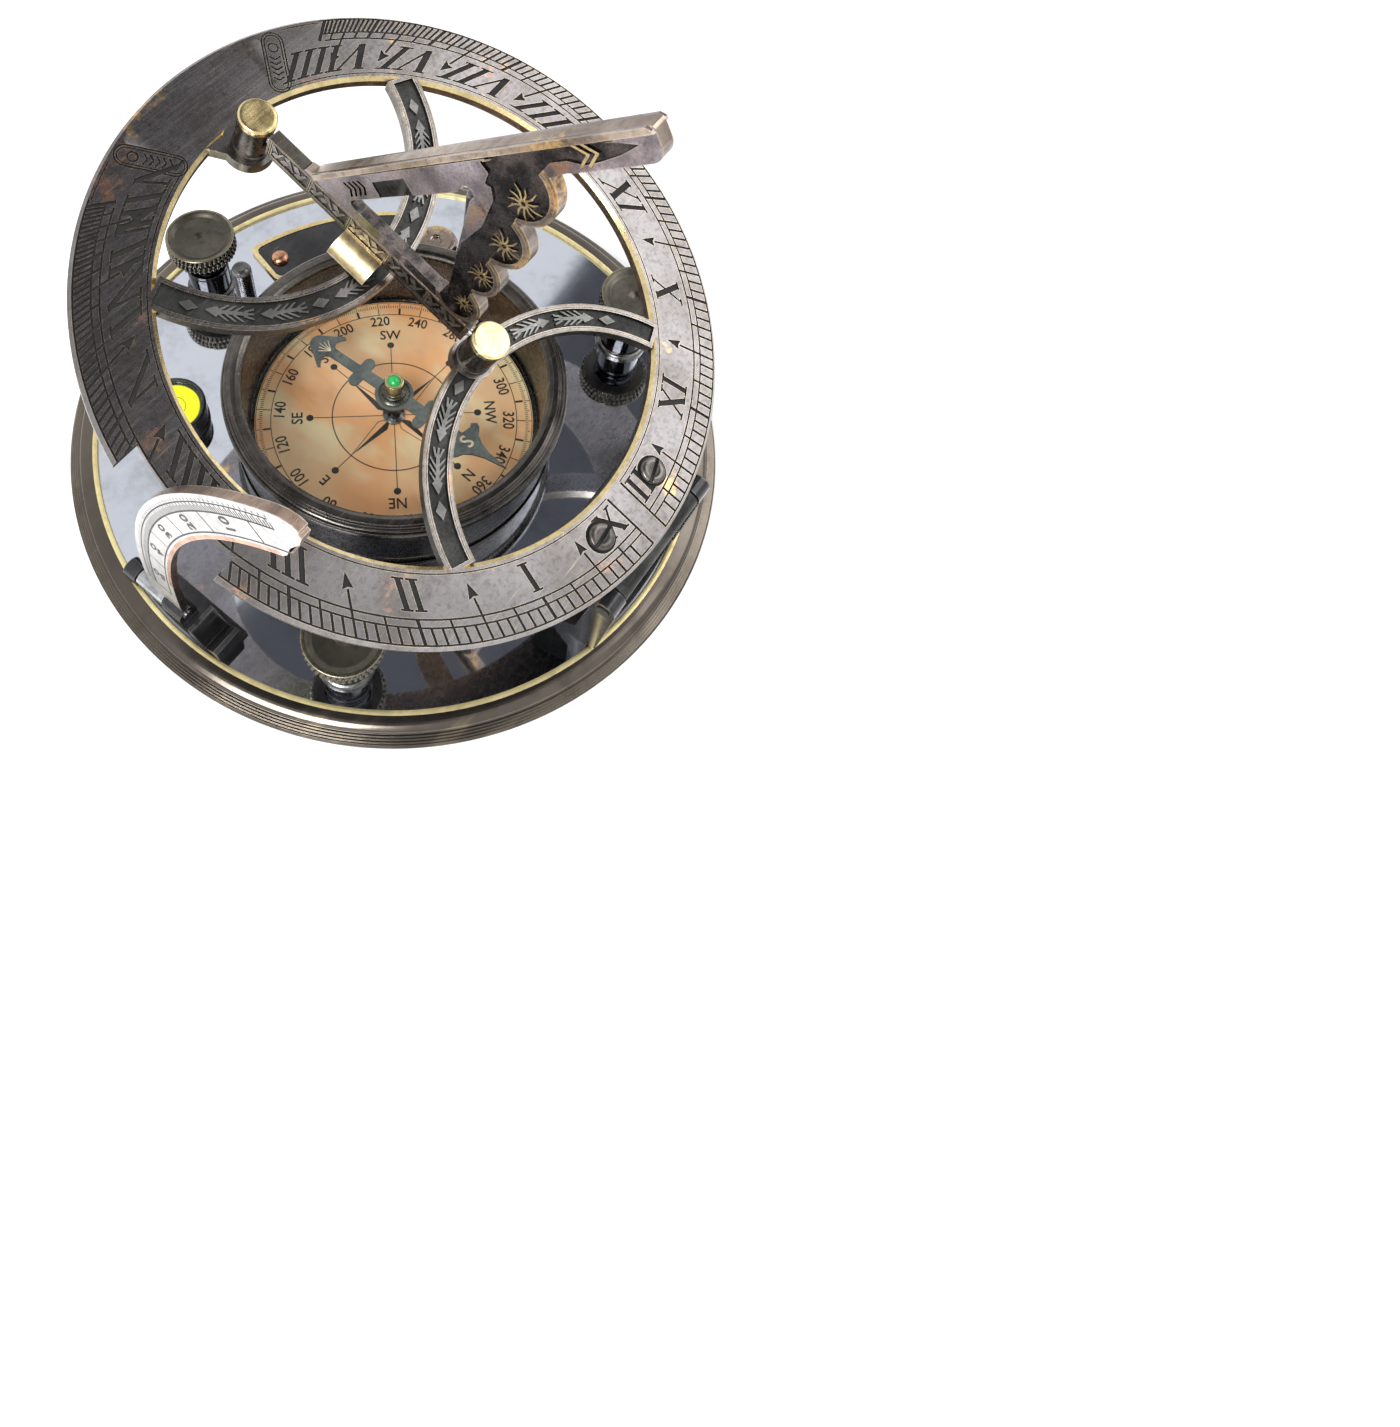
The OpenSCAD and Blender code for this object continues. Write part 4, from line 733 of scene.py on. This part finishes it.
# Cartouches on both sides of midnight
for s in (1, -1):
    cuts.append(ring_band(52.3, 0.16, s * LADDER_END, s * 158.6))
    top, low = Vector(ring_point(s * 161.3, 50.6)), Vector(ring_point(s * 164.3, 43.6))
    axis = (low - top).normalized()
    side = Vector((-axis.y, axis.x))
    for half_w, w in ((1.8, 0.26), (1.35, 0.2)):
        cuts.append(stroke(top + side * half_w, low + side * half_w, w))
        cuts.append(stroke(top - side * half_w, low - side * half_w, w))
        for end, away in ((top, -axis), (low, axis)):
            turn = degrees(atan2(away.y, away.x))
            cuts.append(band(end.x, end.y, half_w, w, turn - 90, turn + 90, 12))
    mid = top + axis * 1
    cuts += [band(mid.x, mid.y, 0.8, 0.26, 0, 180, 20), band(mid.x, mid.y, 0.8, 0.26, 180, 360, 20)]
    for k in range(5):
        p = top + axis * (2.6 + 0.95 * k)
        cuts += [stroke(p + side * (0.95 * q), p + axis * 0.6, 0.3) for q in (-1, 1)]
for x in (SCREW_X, -SCREW_X):
    cuts += [band(x, SCREW_Y, 2.45, 0.4, a, a + 180.5, 10) for a in (0, 180)]


def motif(kind):
    """Diamond (d) or feathered arrow (a) of a strap, along u from 0."""
    if kind == "d":
        return [data("0,0 1.5,-.85 3,0 1.5,.85")]
    out = [data("4.9,0 5.6,-.85 7.3,0 5.6,.85"), box(0.9, -0.28, 5.2, 0.28)]
    for k in range(3):
        u = 1.9 + 1.15 * k
        out += [[(u + 0.9, s * 0.2), (u - 0.5, s * 1.25), (u - 0.15, s * 1.25), (u + 1.3, s * 0.3)] for s in (1, -1)]
    for v in (-0.8, 0, 0.8):
        out.append([(0, v - 0.16), (1.5, v * 0.4 - 0.14), (1.5, v * 0.4 + 0.14), (0, v + 0.16)])
    return out


def strap_shapes(cy, r, w, facing, motifs, first, pad=()):
    """Channelled strap: a band round (0, cy), its channel, and the arrows and diamonds in it."""
    mid = r + w / 2
    outer, inner = (degrees(acos((cy * cy + mid * mid - limit ** 2) / (2 * abs(cy) * mid))) for limit in (41.6, 41))
    out = [(band(0, cy, mid, w - less, facing - reach, facing + reach, 2), z, mat) for less, reach, z,
            mat in ((0, outer, 0, EDGE), (0.3, outer, 0, FACE), (1.1, inner, -0.14, CUT), (1.3, inner, -0.02, FACE),
            (1.7, inner, -0.5, CHANNEL))]
    out += pad
    for s in (1, -1):
        pos = first
        for kind in motifs:
            size = 3 if kind == "d" else 7.4
            if pos + size > radians(inner) * mid - 0.4:
                break
            for poly in motif(kind):
                bent = []
                for u, v in poly:
                    a = radians(facing) + s * (pos + u) / mid
                    bent.append(((mid + v) * cos(a), cy + (mid + v) * sin(a)))
                out.append((bent, -0.14, MOTIF))
            pos += size + 0.9
    return out


# The bright inner bevel is brass with a painted highlight all round
ring_shapes = [(circle(0, 0, RING_OUT, 360), 0, FACE), (circle(0, 0, OUT_BEVEL, 360), 0, FACE),
        (circle(0, 0, IN_BEVEL, 360), 0, BRIGHT), (circle(0, 0, RING_IN, 360), None, FACE)]
BEVELS = len(ring_shapes)
ring_shapes += strap_shapes(-41, 26.2, 4.8, 90, "daada", 4.2, [(circle(0, PILLAR_NOON, 3.7, 40), 0, FACE)])
ring_shapes += strap_shapes(40, 28, 5.4, -90, "adaada", 2)
ring_shapes += [(circle(0, 37.6, 4.3, 48), 0, FACE), (data("-6.2,41.2 -4.1,38.2 4.1,38.2 6.2,41.2"), 0, FACE)]
ring_shapes += [(poly, DEEP, CUT) for poly in cuts]
# Notch in the rim for the latitude arc, and the bores
NOTCH_R, NOTCH_Y0, NOTCH_Y1, NOTCH_X = 49.1, -6, 15, -56
a0 = atan2(NOTCH_Y0, -sqrt(NOTCH_R ** 2 - NOTCH_Y0 ** 2))
a1 = atan2(NOTCH_Y1, -sqrt(NOTCH_R ** 2 - NOTCH_Y1 ** 2)) - TAU
notch = [(NOTCH_R * cos(a), NOTCH_R * sin(a)) for a in (a0 + (a1 - a0) * k / 8 for k in range(9))]
ring_shapes.append(([(NOTCH_X, NOTCH_Y0)] + notch + [(NOTCH_X, NOTCH_Y1)], None, FACE))
for x, y, r in ((SCREW_X, SCREW_Y, 1.25), (-SCREW_X, SCREW_Y, 1.25), (0, PILLAR_NOON, 1.35), (0, PILLAR_NIGHT, 1.35)):
    ring_shapes.append((circle(x, y, r, 24), None, FACE))


def ring_lift(x, y, z, which):
    """Slopes the first two shapes down to the outer edge and the next two down to the bright inner one."""
    r = hypot(x, y)
    if which >= BEVELS:
        return z
    return z - max(0, IN_BEVEL - r if which > 1 else r - OUT_BEVEL)


own(terrace("engraved_ring", ring_shapes, ["ring", "groove", "bright_edge", "strap_edge", "channel", "motif"], 2,
        RING, lift=ring_lift, side=EDGE), "hour_ring", "ring_bronze", "dial_ring")

# Domed screw heads with a sawn slot
SLOT_HALF, SLOT_Z = 0.33, 0.3
screw_line = data("0,-3.1 1.17,-3.1 1.17,0 2.25,0 2.3,.35 2.1,.75 1.6,.92 0,.98")
for k, (x, turn) in enumerate(((SCREW_X, 20), (-SCREW_X, 5))):
    place = RING @ at(x, SCREW_Y)
    head = lathe("ring_screw_%d" % k, screw_line, ["screw"], place, seg=40)
    corners = [(x, y, z) for z in (SLOT_Z, SLOT_Z + 3) for x, y in box(-5, -SLOT_HALF, 5, SLOT_HALF)]
    cutter = make("ring_screw_cut", corners, [(3, 2, 1, 0), (4, 5, 6, 7), (0, 1, 5, 4), (1, 2, 6, 5), (2, 3, 7, 6),
            (3, 0, 4, 7)], ["groove"], frame_of=place @ Matrix.Rotation(radians(turn), 4, "Z"))
    bpy.context.view_layer.update()
    mod = head.modifiers.new("slot", "BOOLEAN")
    mod.object, mod.operation, mod.solver, mod.material_mode = cutter, "DIFFERENCE", "EXACT", "TRANSFER"
    done = final_mesh(head)
    head.modifiers.clear()
    head.data = done
    bpy.data.objects.remove(cutter)
    own(head, "hour_ring", "steel", *([] if k else ["leaf_screws"]))

# ---------------------------------------------------------------- gnomon
BAR_END, BAR_TOP = -8, 7.2
LOBES = [(7.7, 32.8, 5.7), (5.9, 22.4, 5.2), (5.5, 12.6, 4.7), (4.5, 3.8, 4.2)]
STYLE_ANGLE = 180 - 59.2
blade = Vector((cos(radians(STYLE_ANGLE)), sin(radians(STYLE_ANGLE))))
back = Vector((-blade.y, blade.x))
toe = Vector((33.9, 0))
tip = toe + blade * (54.9 / blade.y)
SIDE, FIELD, STYLE, SCALLOP, GILT, GLOSS = range(6)
gnomon = []


def mark(points, height, mat):
    """Adds a shape drawn from the end of the bar and from its top."""
    gnomon.append(([(BAR_END + y, BAR_TOP + z) for y, z in points], height, mat))


def beside(base, *steps):
    """Points given as steps up the blade and behind its edge, from base."""
    return [base + blade * t + back * b for t, b in steps]


front, rear = beside(tip, (-0.7, 0.7), (-1.8, 2.6))
outline = data("34.9,0 34.6,.5 33.5,.9") + arc_points(*front, 0.7, STYLE_ANGLE - 90, STYLE_ANGLE, 4)
outline += arc_points(*rear, 1.8, STYLE_ANGLE, STYLE_ANGLE + 90, 8)
outline += data("2.3,44.1 3.4,42.2 4.4,40.8 5,39.5 5.4,38.4 7,36 7,34 5,26 5,16 3,6 1,1.4 1,0")
mark(outline, 1, SIDE)
for less, height, mat in ((0, 1, SCALLOP), (0.28, 1.22, SCALLOP), (1, 0.7, FIELD)):
    for y, z, r in LOBES:
        mark(circle(y, z, r - less, 64), height, mat)
# Plain strip beside the opening, over the inner parts of the rims, and the sunk field behind it
mark(data("8.4,3 24,1.9 30,1.9 30.5,4.6 15.2,29.4 12.6,31.5 11.4,31.2 8.9,28 8,22 8.9,15 7.6,8.5"), 1, SIDE)
mark(data("3.6,1.9 6,1.9 7.9,8.5 9.2,15 8.3,22 9.2,27.6 11.6,30.8 13.4,31.3 12.2,33.4 9,36.6 6.6,36 5,24 4.6,14 "
        "3.4,6"), 0.7, FIELD)
# Long sunk leaf up the blade, joined to the field by a neck
mark(beside(tip, (-2.6, 2.1), (-5.5, 1.45), (-9, 1.15), (-14, 1.1), (-19, 1.1), (-22, 1.4), (-25, 2.4), (-27.5, 4.6),
        (-25, 7), (-20.5, 5.6), (-18, 4.2), (-15.5, 2.9), (-13, 2.9), (-10.8, 3.7), (-8.5, 3.5), (-5.5, 3)), 0.75,
        FIELD)
# Dark chevrons by the toe and the sunk glossy patch across the style arm
for k in range(4):
    c = beside(toe, (11.4 - 1.15 * k, 3.3))[0]
    for s in (1, -1):
        mark(beside(c, (0, s * 1.25), (0.75, 0), (0.2, 0), (-0.55, s * 1.25)), 0.7, GLOSS)
mark(beside(toe, (14.2, 2.6), (21.5, 2.6), (21.5, 5.4), (14.2, 5.4)), 0.86, GLOSS)
# Style rail and the groove behind it
mark([*beside(toe, (12.5, 0.8)), *beside(tip, (-4, 0.8), (-6, 1.3)), *beside(toe, (12.5, 1.3))], 0.8, FIELD)
mark([*beside(toe, (1.5, 0)), *beside(tip, (-0.7, 0), (-0.1, 0.5), (0, 0.9)), *beside(toe, (1.5, 0.9))], 1.5, STYLE)
# Sun flowers
for k, (y, z, size) in enumerate(((6, 31.3, 2.9), (4.4, 22, 2.7), (4, 13.1, 2.6), (3.4, 4.4, 2))):
    for q in range(11):
        a = TAU * q / 11 + 0.2 * k
        end = size * (1 if q % 2 else 0.8)
        p = [(y + r * cos(a + t), z + r * sin(a + t)) for r, t in ((0.62, 0), (end * 0.6, 0.16), (end, 0.02))]
        mark(stroke(p[0], p[1], 0.26, 0.3), 0.96, GILT)
        mark(stroke(p[1], p[2], 0.3, 0.1), 0.96, GILT)
    mark(circle(y, z, 0.75, 20), 1, GILT)
    mark(circle(y, z, 0.38, 14), 0.8, FIELD)
# Gilt chevrons in the leaf
for k in range(2):
    c = beside(tip, (1.3 * k - 9.4, 2.5))[0]
    for s in (1, -1):
        mark(beside(c, (-1.9, s * 1.55), (0, 0), (-0.55, 0), (-2.2, s * 1.35)), 1, GILT)
# Opening, and the parts inside the bar cut away
mark(data("6.4,2.9 6.6,2.3 7.2,2.1 24.6,2.2 25.7,2.4 26,3.2 25.6,3.9 13.1,24.2 12.6,24.7 11.9,24.6 11.6,24.1"), None,
        SIDE)
mark(circle(12.5, 24.6, 1.25, 24), None, SIDE)
gnomon.append((box(-20, 0, 40, BAR_TOP - 0.2), None, SIDE))


def plate_side(y, z):
    """Style face, foot, plain walls of the opening, or the scalloped back."""
    y, z = y - BAR_END, z - BAR_TOP
    off = (Vector((y, z)) - toe).dot(back)
    if off < 3 and z > 0.5:
        return STYLE
    if z < 3.5:
        return FIELD
    return SIDE if off > 2 and y > 11 and z < 26.5 else SCALLOP


own(terrace("ornate_gnomon", gnomon, ["plate", "field", "style", "rimline", "gilt", "neck"], 0, RING @ UPRIGHT,
        both=True, side=plate_side), "gnomon", "gnomon_bronze", "gnomon_plate")

BAR_FACE, BAR_FIELD, BAR_LEAF, BAR_EDGE = range(4)
BAR_MID, BAR_FAR = 5.25, 33.85
bar = [(box(BAR_END, 2.8, BAR_FAR, BAR_TOP), 1.1, BAR_FACE)]
for k in range(5):
    y0, y1 = -7.2 + 8.15 * k, 0.2 + 8.15 * k
    bar.append((box(y0, 3.7, y1, 6.8), 0.92, BAR_FIELD))
    for q in range(3):
        y, up = y0 + 1.2 + 2.35 * q, 1 if q % 2 else -1
        bar += [(poly, 1.04, BAR_LEAF) for poly in (stroke((y - 0.6, BAR_MID - 0.9 * up), (y + 0.1, BAR_MID), 0.34),
                [(y - 0.2, BAR_MID), (y + 0.5, BAR_MID + 1.25 * up), (y + 1.5, BAR_MID + 1 * up),
                (y + 0.9, BAR_MID + 0.2 * up)], [(y + 0.4, BAR_MID - 0.1 * up), (y + 1.2, BAR_MID - 1.2 * up),
                (y + 2, BAR_MID - 0.9 * up), (y + 1.4, BAR_MID)])]
    bar += [(box(y1 + gap, 3.3, y1 + gap + 0.16, 7), 0.95, BAR_FIELD) for gap in (0.2, 0.55)]
bar.append((box(-7.9, 3.25, 33.75, 3.4), 0.98, BAR_FIELD))
bar.append((box(BAR_END, 2.8, BAR_FAR, 3.2), 1.1, BAR_EDGE))
bar = [shape for shape in bar if max(y for y, _ in shape[0]) <= BAR_FAR + 0.01]
own(terrace("ornate_bar", bar, ["bar", "field", "leaf", "dark"], 0, RING @ UPRIGHT, both=True, side=BAR_EDGE),
        "gnomon", "gnomon_bronze", "gnomon_bar")

pillar_line = data("0,-2 1.3,-2 1.3,0 3.1,0 3.1,.5 2.95,.7 2.95,6.3 3.1,6.5 3.1,6.9 0,6.9")
cap_line = data("0,6.9 3.05,6.9 3.1,7 3.1,7.65 2.85,7.93 2.4,7.95 1.2,7.93 0,7.9")
for name, y in (("noon", PILLAR_NOON), ("midnight", PILLAR_NIGHT)):
    turned("pillar_body_" + name, pillar_line, ["dark"], RING @ at(0, y), "hour_ring", "dark_bronze",
            "pillar_" + name, seg=96)
    turned("bright_cap_" + name, cap_line, ["brass"], RING @ at(0, y), "hour_ring", "brass", "pillar_cap_" + name,
            seg=96, radius=0.08)

# ---------------------------------------------------------------- latitude arc
AC = (-77.8, 5.7)
OUT_R, IN_R = 86.9, 79.4
HALF_ARC = 0.68
A_FACE, A_LINE, A_COPPER, A_EDGE = range(4)
ALO, AHI = 1.5, 52
LETTERS = 5.4
CUT_Y = 5.85
start = -degrees(asin(4.7 / IN_R))
blade_arc = arc_points(*AC, OUT_R, start, 53, 80) + [polar(a, r, *AC) for r, a in ((86.7, 54.2), (86.1, 55.2),
        (85.3, 55.6), (84.7, 55.2), (84.3, 55.4), (83.6, 54.9), (82.9, 54.4), (82.2, 53.4), (81.5, 52.4),
        (80.6, 51.6), (79.9, 51))]
blade_arc += arc_points(*AC, IN_R, 50, start, 80)


def arc_mark(a, r0, r1, w):
    """Stroke across the blade at angle a."""
    return stroke(polar(a, r0, *AC), polar(a, r1, *AC), w)


scale = []
for k in range(8):
    lo, hi = ALO + (AHI - ALO) * k / 8, ALO + (AHI - ALO) * (k + 1) / 8
    scale += [band(*AC, r, w, lo, hi + 0.02, 1) for r, w in ((84.1, 0.28), (85.6, 0.22), (80.6, 0.26))]
for k in range(120):
    a = ALO + (AHI - ALO) * k / 119
    scale.append(arc_mark(a, 84.15, 85.1 if k % 2 else 85.5, 0.27))
    if k % 2:
        scale.append(arc_mark(a, 85.8, 86.2, 0.24))
scale += [arc_mark(ALO + (AHI - ALO) * k / LETTERS, 80.65, 84.1, 0.32) for k in range(6)]
arc = [(blade_arc, HALF_ARC, A_FACE)] + [(poly, HALF_ARC - 0.07, A_LINE) for poly in scale]
arc += [(band(*AC, 79.75, 0.7, ALO + 4, 50, 1), HALF_ARC, A_COPPER), (box(-14, -1, CUT_Y, 2.2), None, A_FACE),
        (box(CUT_Y - 0.1, -6, 12.4, 1.5), None, A_FACE)]
own(terrace("graduated_arc", arc, ["silver", "tick", "copper", "arc_edge"], 0, ARC @ UPRIGHT, both=True, side=A_EDGE),
        "arc", "silver_plate", "latitude_arc")
digits = []
for k, text in enumerate(("50", "40", "30", "20", "10")):
    a = ALO + (AHI - ALO) * (k + 0.5) / LETTERS
    x, y = polar(a, 82.35, *AC)
    digits.append((text, -x, y, 3.3, 180 - a, HALF_ARC + 0.03, 0.85))
own(lettering("arc_numbers", digits, "ink", ARC @ UPRIGHT @ Matrix.Rotation(pi, 4, "Y")), "arc", "silver_plate")


# ---------------------------------------------------------------- levelling screws
def threaded_rod(name, frame_of):
    """Rod with a real helical ridge that fades out at both ends, in one mesh."""
    seg, per, pitch, depth, radius = 48, 6, 0.8, 0.28, 2.5
    z0, z1 = 2.4, 14.6
    rows = int((z1 - z0) / pitch * per)
    verts, faces = [], []

    def ring_of(z, radius_at):
        verts.extend((radius_at(i) * cos(TAU * i / seg), radius_at(i) * sin(TAU * i / seg), z) for i in range(seg))

    for r, z in ((1.5, 0.5), (1.5, 1.7), (2.2, 2)):
        ring_of(z, lambda i: r)
    for k in range(rows + 1):
        z = z0 + (z1 - z0) * k / rows
        fade = min(1, k / per, (rows - k) / per)
        ring_of(z, lambda i: radius - depth * fade * (0.5 + 0.5 * cos(TAU * ((z / pitch - i / seg) % 1))))
    for r, z in ((2.2, 14.79), (1.88, 14.8), (1.88, 19.55)):
        ring_of(z, lambda i: r)
    last = len(verts) - seg
    for k in range(0, last, seg):
        for i in range(seg):
            j = (i + 1) % seg
            faces.append((k + i, k + j, k + seg + j, k + seg + i))
    faces.append(tuple(range(seg - 1, -1, -1)))
    faces.append(tuple(last + i for i in range(seg)))
    return make(name, verts, faces, ["steel"], None, frame_of, 50)


def beaded_knob(name, frame_of):
    """Dished knob with two staggered rows of beads on a waisted neck, in one mesh."""
    line = data("1.93,14.8 3.7,14.8 3.95,15 3.95,15.4 3.6,15.8 3.5,16.6 3.9,17.1 4.4,17.3 6.2,17.45 6.35,17.7 "
            "6.35,21.1 6.75,21.2 6.85,21.35 6.7,21.5 6.15,21.5 5.7,21.25 5.1,20.85 1.5,20.6 .9,20.35 .45,20.2 0,20.2 "
            "0,19.7 1.93,19.7 1.93,14.8")
    body = lathe(name, line, ["knob", "neck", "knob_rim"], frame_of, seg=128, pick=lambda r, z: 1
            if z < 17.2 and r > 2 else (2 if r > 6.3 and z > 21.15 else 0))
    count, bead_r = 44, 6.42
    bm = bmesh.new()
    bm.from_mesh(body.data)
    for row, z in enumerate((18.35, 20.2)):
        for k in range(count):
            a = TAU * (k + 0.5 * row) / count
            place = Matrix.Translation((bead_r * cos(a) * MM, bead_r * sin(a) * MM, z * MM))
            shape = Matrix.Diagonal((0.56 * MM, 0.43 * MM, 0.86 * MM, 1))
            bmesh.ops.create_icosphere(bm, subdivisions=2, radius=1, matrix=frame_of @ place @ Matrix.Rotation(a, 4,
                    "Z") @ shape)
    bm.to_mesh(body.data)
    bm.free()
    body.data.set_sharp_from_angle(angle=radians(35))
    return body


bush_line = [(2.55, 3), (3.5, 3), (3.5, FLOOR), (5.1, FLOOR), (5.1, 6.2), (4.75, 6.6), (4.35, 6.75), (4.3, 7.1),
        (4.3, 12), (4.15, 12.2), (4.15, 12.6), (4.3, 12.7), (4.3, 12.9), (4.1, 13), (2.55, 13), (2.55, 3)]
foot_line = data("0,0 4.7,0 5,.3 5,1.05 4.6,1.35 4.2,1.5 1.6,1.5 1.55,.45 0,.45")
for i, a in enumerate((90, -30, -150), 1):
    place = at(*polar(a, 50))
    own(beaded_knob("beaded_knob_%d" % i, place), "screw_%d" % i, "dark_bronze", "levelling_knob_%d" % i)
    own(threaded_rod("threaded_rod_%d" % i, place), "screw_%d" % i, "steel", "levelling_screw_%d" % i)
    turned("turned_bush_%d" % i, bush_line, ["neck", "dark_steel"], place, "root", "dark_bronze", "screw_bush_%d" % i,
            seg=96, pick=lambda r, z: 1 if z < 6.9 else 0, radius=0.08)
    turned("round_foot_%d" % i, foot_line, ["dark_steel"], place, "foot_%d" % i, "steel", "levelling_foot_%d" % i,
            seg=96, radius=0.1)

# ---------------------------------------------------------------- fittings
LEVEL = at(-27.8, 31.8, FLOOR)
turned("level_cup", data("0,0 6.1,0 6.2,.2 6.2,.8 6,.95 6,5 6.2,5.15 6.2,5.7 5.9,6 5.45,6 5.4,5.1 5.05,5.1 5.05,.8 "
        "0,.8"), ["black"], LEVEL, "root", "black_metal", "level_housing", seg=128, radius=0.08)
turned("level_spirit", data("0,.85 4.95,.85 5,.95 5,4.9 4.9,5.03 0,5.05"), ["fluid"], LEVEL, "root", "level_fluid",
        "level_vial", seg=96, radius=0.05)
turned("level_bubble", data("0,4.2 .9,4.25 1.5,4.45 1.75,4.75 1.5,4.95 0,4.98"), ["bubble"], LEVEL @ at(0.5, -0.4),
        "root", "level_fluid", seg=48, radius=0.1)
turned("level_mark", data("2.15,5.06 2.25,5.06 2.25,5.09 2.15,5.09 2.15,5.06"), ["ink"], LEVEL, "root", "black_metal",
        seg=64, radius=0)
turned("round_stud", data("0,0 4.6,0 4.6,1.7 4.4,2.1 4,2.45 3.2,2.6 1.5,2.6 1.1,2.45 .9,2.1 0,2.05"), ["style"],
        at(38.3, 19.5, FLOOR), "root", "silver_plate", "floor_stud", seg=96)


def sector(r0, r1, a0, a1, corner):
    """Piece of a ring between two radii and two angles, with rounded corners."""
    cut1, cut0 = (degrees(corner / r) for r in (r1, r0))
    small = corner * 0.3

    def bend(r, a, way, turn):
        """Two points of a corner: way is outward or inward, turn the small angle back from its side."""
        return [polar(a + turn, r - way * small), polar(a, r - way * corner)]

    return (arc_points(0, 0, r1, a0 + cut1, a1 - cut1, 24) + bend(r1, a1, 1, -cut1 * 0.3) + bend(r0, a1, -1,
            -cut0 * 0.3)[::-1] + arc_points(0, 0, r0, a1 - cut0, a0 + cut0, 24) + bend(r0, a0, -1, cut0 * 0.3) +
            bend(r1, a0, 1, cut1 * 0.3)[::-1])


rivets = [polar(a, 45.5) for a in (39.5, 72)]
name_shapes = [(sector(40, 51.5, 35, 77, 1.6), 0.8, 0), (sector(41, 50.5, 36.2, 75.8, 1.3), 0.62, 1)]
name_shapes += [(circle(x, y, 0.95, 20), None, 0) for x, y in rivets]
own(terrace("bare_plate", name_shapes, ["brass", "black"], 0, at(0, 0, FLOOR)), "root", "brass", "nameplate")
rivet_line = data("0,0 .9,0 .9,.62 1.85,.62 1.95,.85 1.75,1.4 1.25,1.8 .6,1.98 0,2")
for k, (x, y) in enumerate(rivets):
    turned("dome_rivet_%d" % k, rivet_line, ["copper"], at(x, y, FLOOR), "root", "copper",
            *([] if k else ["nameplate_rivets"]), seg=64, radius=0.2)
POST_TOP = 25.45
post_line = [(0, 4), (0.9, 4), (0.9, FLOOR), (2.3, FLOOR + 0.01), (2.3, 6.3), (2, 6.7), (1.9, 7.2),
        (1.9, POST_TOP - 0.9), (1.6, POST_TOP - 0.3), (1, POST_TOP), (0, POST_TOP + 0.02)]
for k, (x, y) in enumerate(((-2.4, 35.7), (41.1, 12.6))):
    turned("rest_post_%d" % k, post_line, ["dark_steel"], at(x, y), "root", "steel", *([] if k else ["rest_posts"]),
            seg=64, radius=0.1)

# ---------------------------------------------------------------- finishes of the solids that stay
KEEP = {"bowl_screws": "steel", "compass_glass": "glass", "compass_card": "card", "needle_pivot": "dark_steel",
        "level_glass": "glass", "hinge_bracket": "black", "bracket_screws": "dark_steel", "hinge_pin": "channel",
        "arc_bracket": "black", "arc_screws": "steel", "arc_pin": "steel", "hinge_leaf": "channel",
        "gnomon_pins": "steel", "stop_tab": "tab", "arc_sleeve": "steel", "hub_jewel": "jewel"}
for node, key in KEEP.items():
    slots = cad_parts[node].data.materials
    slots.clear()
    slots.append(M[key])

# ---------------------------------------------------------------- floor, light and camera
def staged_sheet(name, mat_name, outline, height, colour):
    """Flat matt sheet of the studio, in metres."""
    mesh = bpy.data.meshes.new(name)
    mesh.from_pydata([(x, y, height) for x, y in outline], [], [tuple(range(len(outline)))])
    mat = bpy.data.materials.new(mat_name)
    mat.use_nodes = True
    shader = mat.node_tree.nodes["Principled BSDF"]
    shader.inputs["Base Color"].default_value = (*colour, 1)
    shader.inputs["Roughness"].default_value = 0.9
    mesh.materials.append(mat)
    sheet = linked(name, mesh)


def lamp(name, place, size, power):
    """Square lamp that points at the instrument."""
    light = bpy.data.lights.new(name, "AREA")
    light.shape = "RECTANGLE"
    light.size = light.size_y = size
    light.energy = power
    obj = linked(name, light)
    obj.location = place
    obj.rotation_euler = (Vector((0, 0, 0.03)) - Vector(place)).to_track_quat("-Z", "Y").to_euler()


staged_sheet("floor", "floor_white", box(-4, -4, 4, 4), 0, (0.95, 0.95, 0.95))
scene.view_settings.view_transform = "Standard"
world = bpy.data.worlds.new("studio")
world.use_nodes = True
scene.world = world
white = world.node_tree.nodes["Background"]
white.inputs[0].default_value = (1, 1, 1, 1)
white.inputs[1].default_value = 1
# Dark card overhead: keeps the top of the instrument from mirroring plain white
staged_sheet("studio_card", "card_grey", data("-1.5,-.34 .35,-.34 .5,-.06 .95,.06 .95,.25 .3,.35 -.4,.35 -1.5,.35"),
        1, (0.06, 0.06, 0.07))
lamp("right", (0.62, -0.36, 0.7), 0.66, 2.9)
lamp("left", (-0.6, -0.1, 0.62), 0.45, 9.5)

# The photo's camera, solved from the circles of the base, the ring and the card
cam = bpy.data.cameras.new("camera")
cam.sensor_width = 36
cam.lens = 24.2325
cam.shift_x, cam.shift_y = 0.21023, -0.19516
cam.clip_start, cam.clip_end = 0.01, 20
camera = linked("camera", cam)
right = Vector((0.631875, -0.775014, 0.009361))
up = Vector((0.678391, 0.558858, 0.47693))
ahead = Vector((0.374859, 0.29501, -0.878891))
place = Vector((-0.07315255585, -0.05918902075, 0.17050053097))
camera.matrix_world = Matrix([(right[i], up[i], -ahead[i], place[i]) for i in range(3)] + [(0, 0, 0, 1)])
scene.camera = camera

bpy.context.view_layer.update()
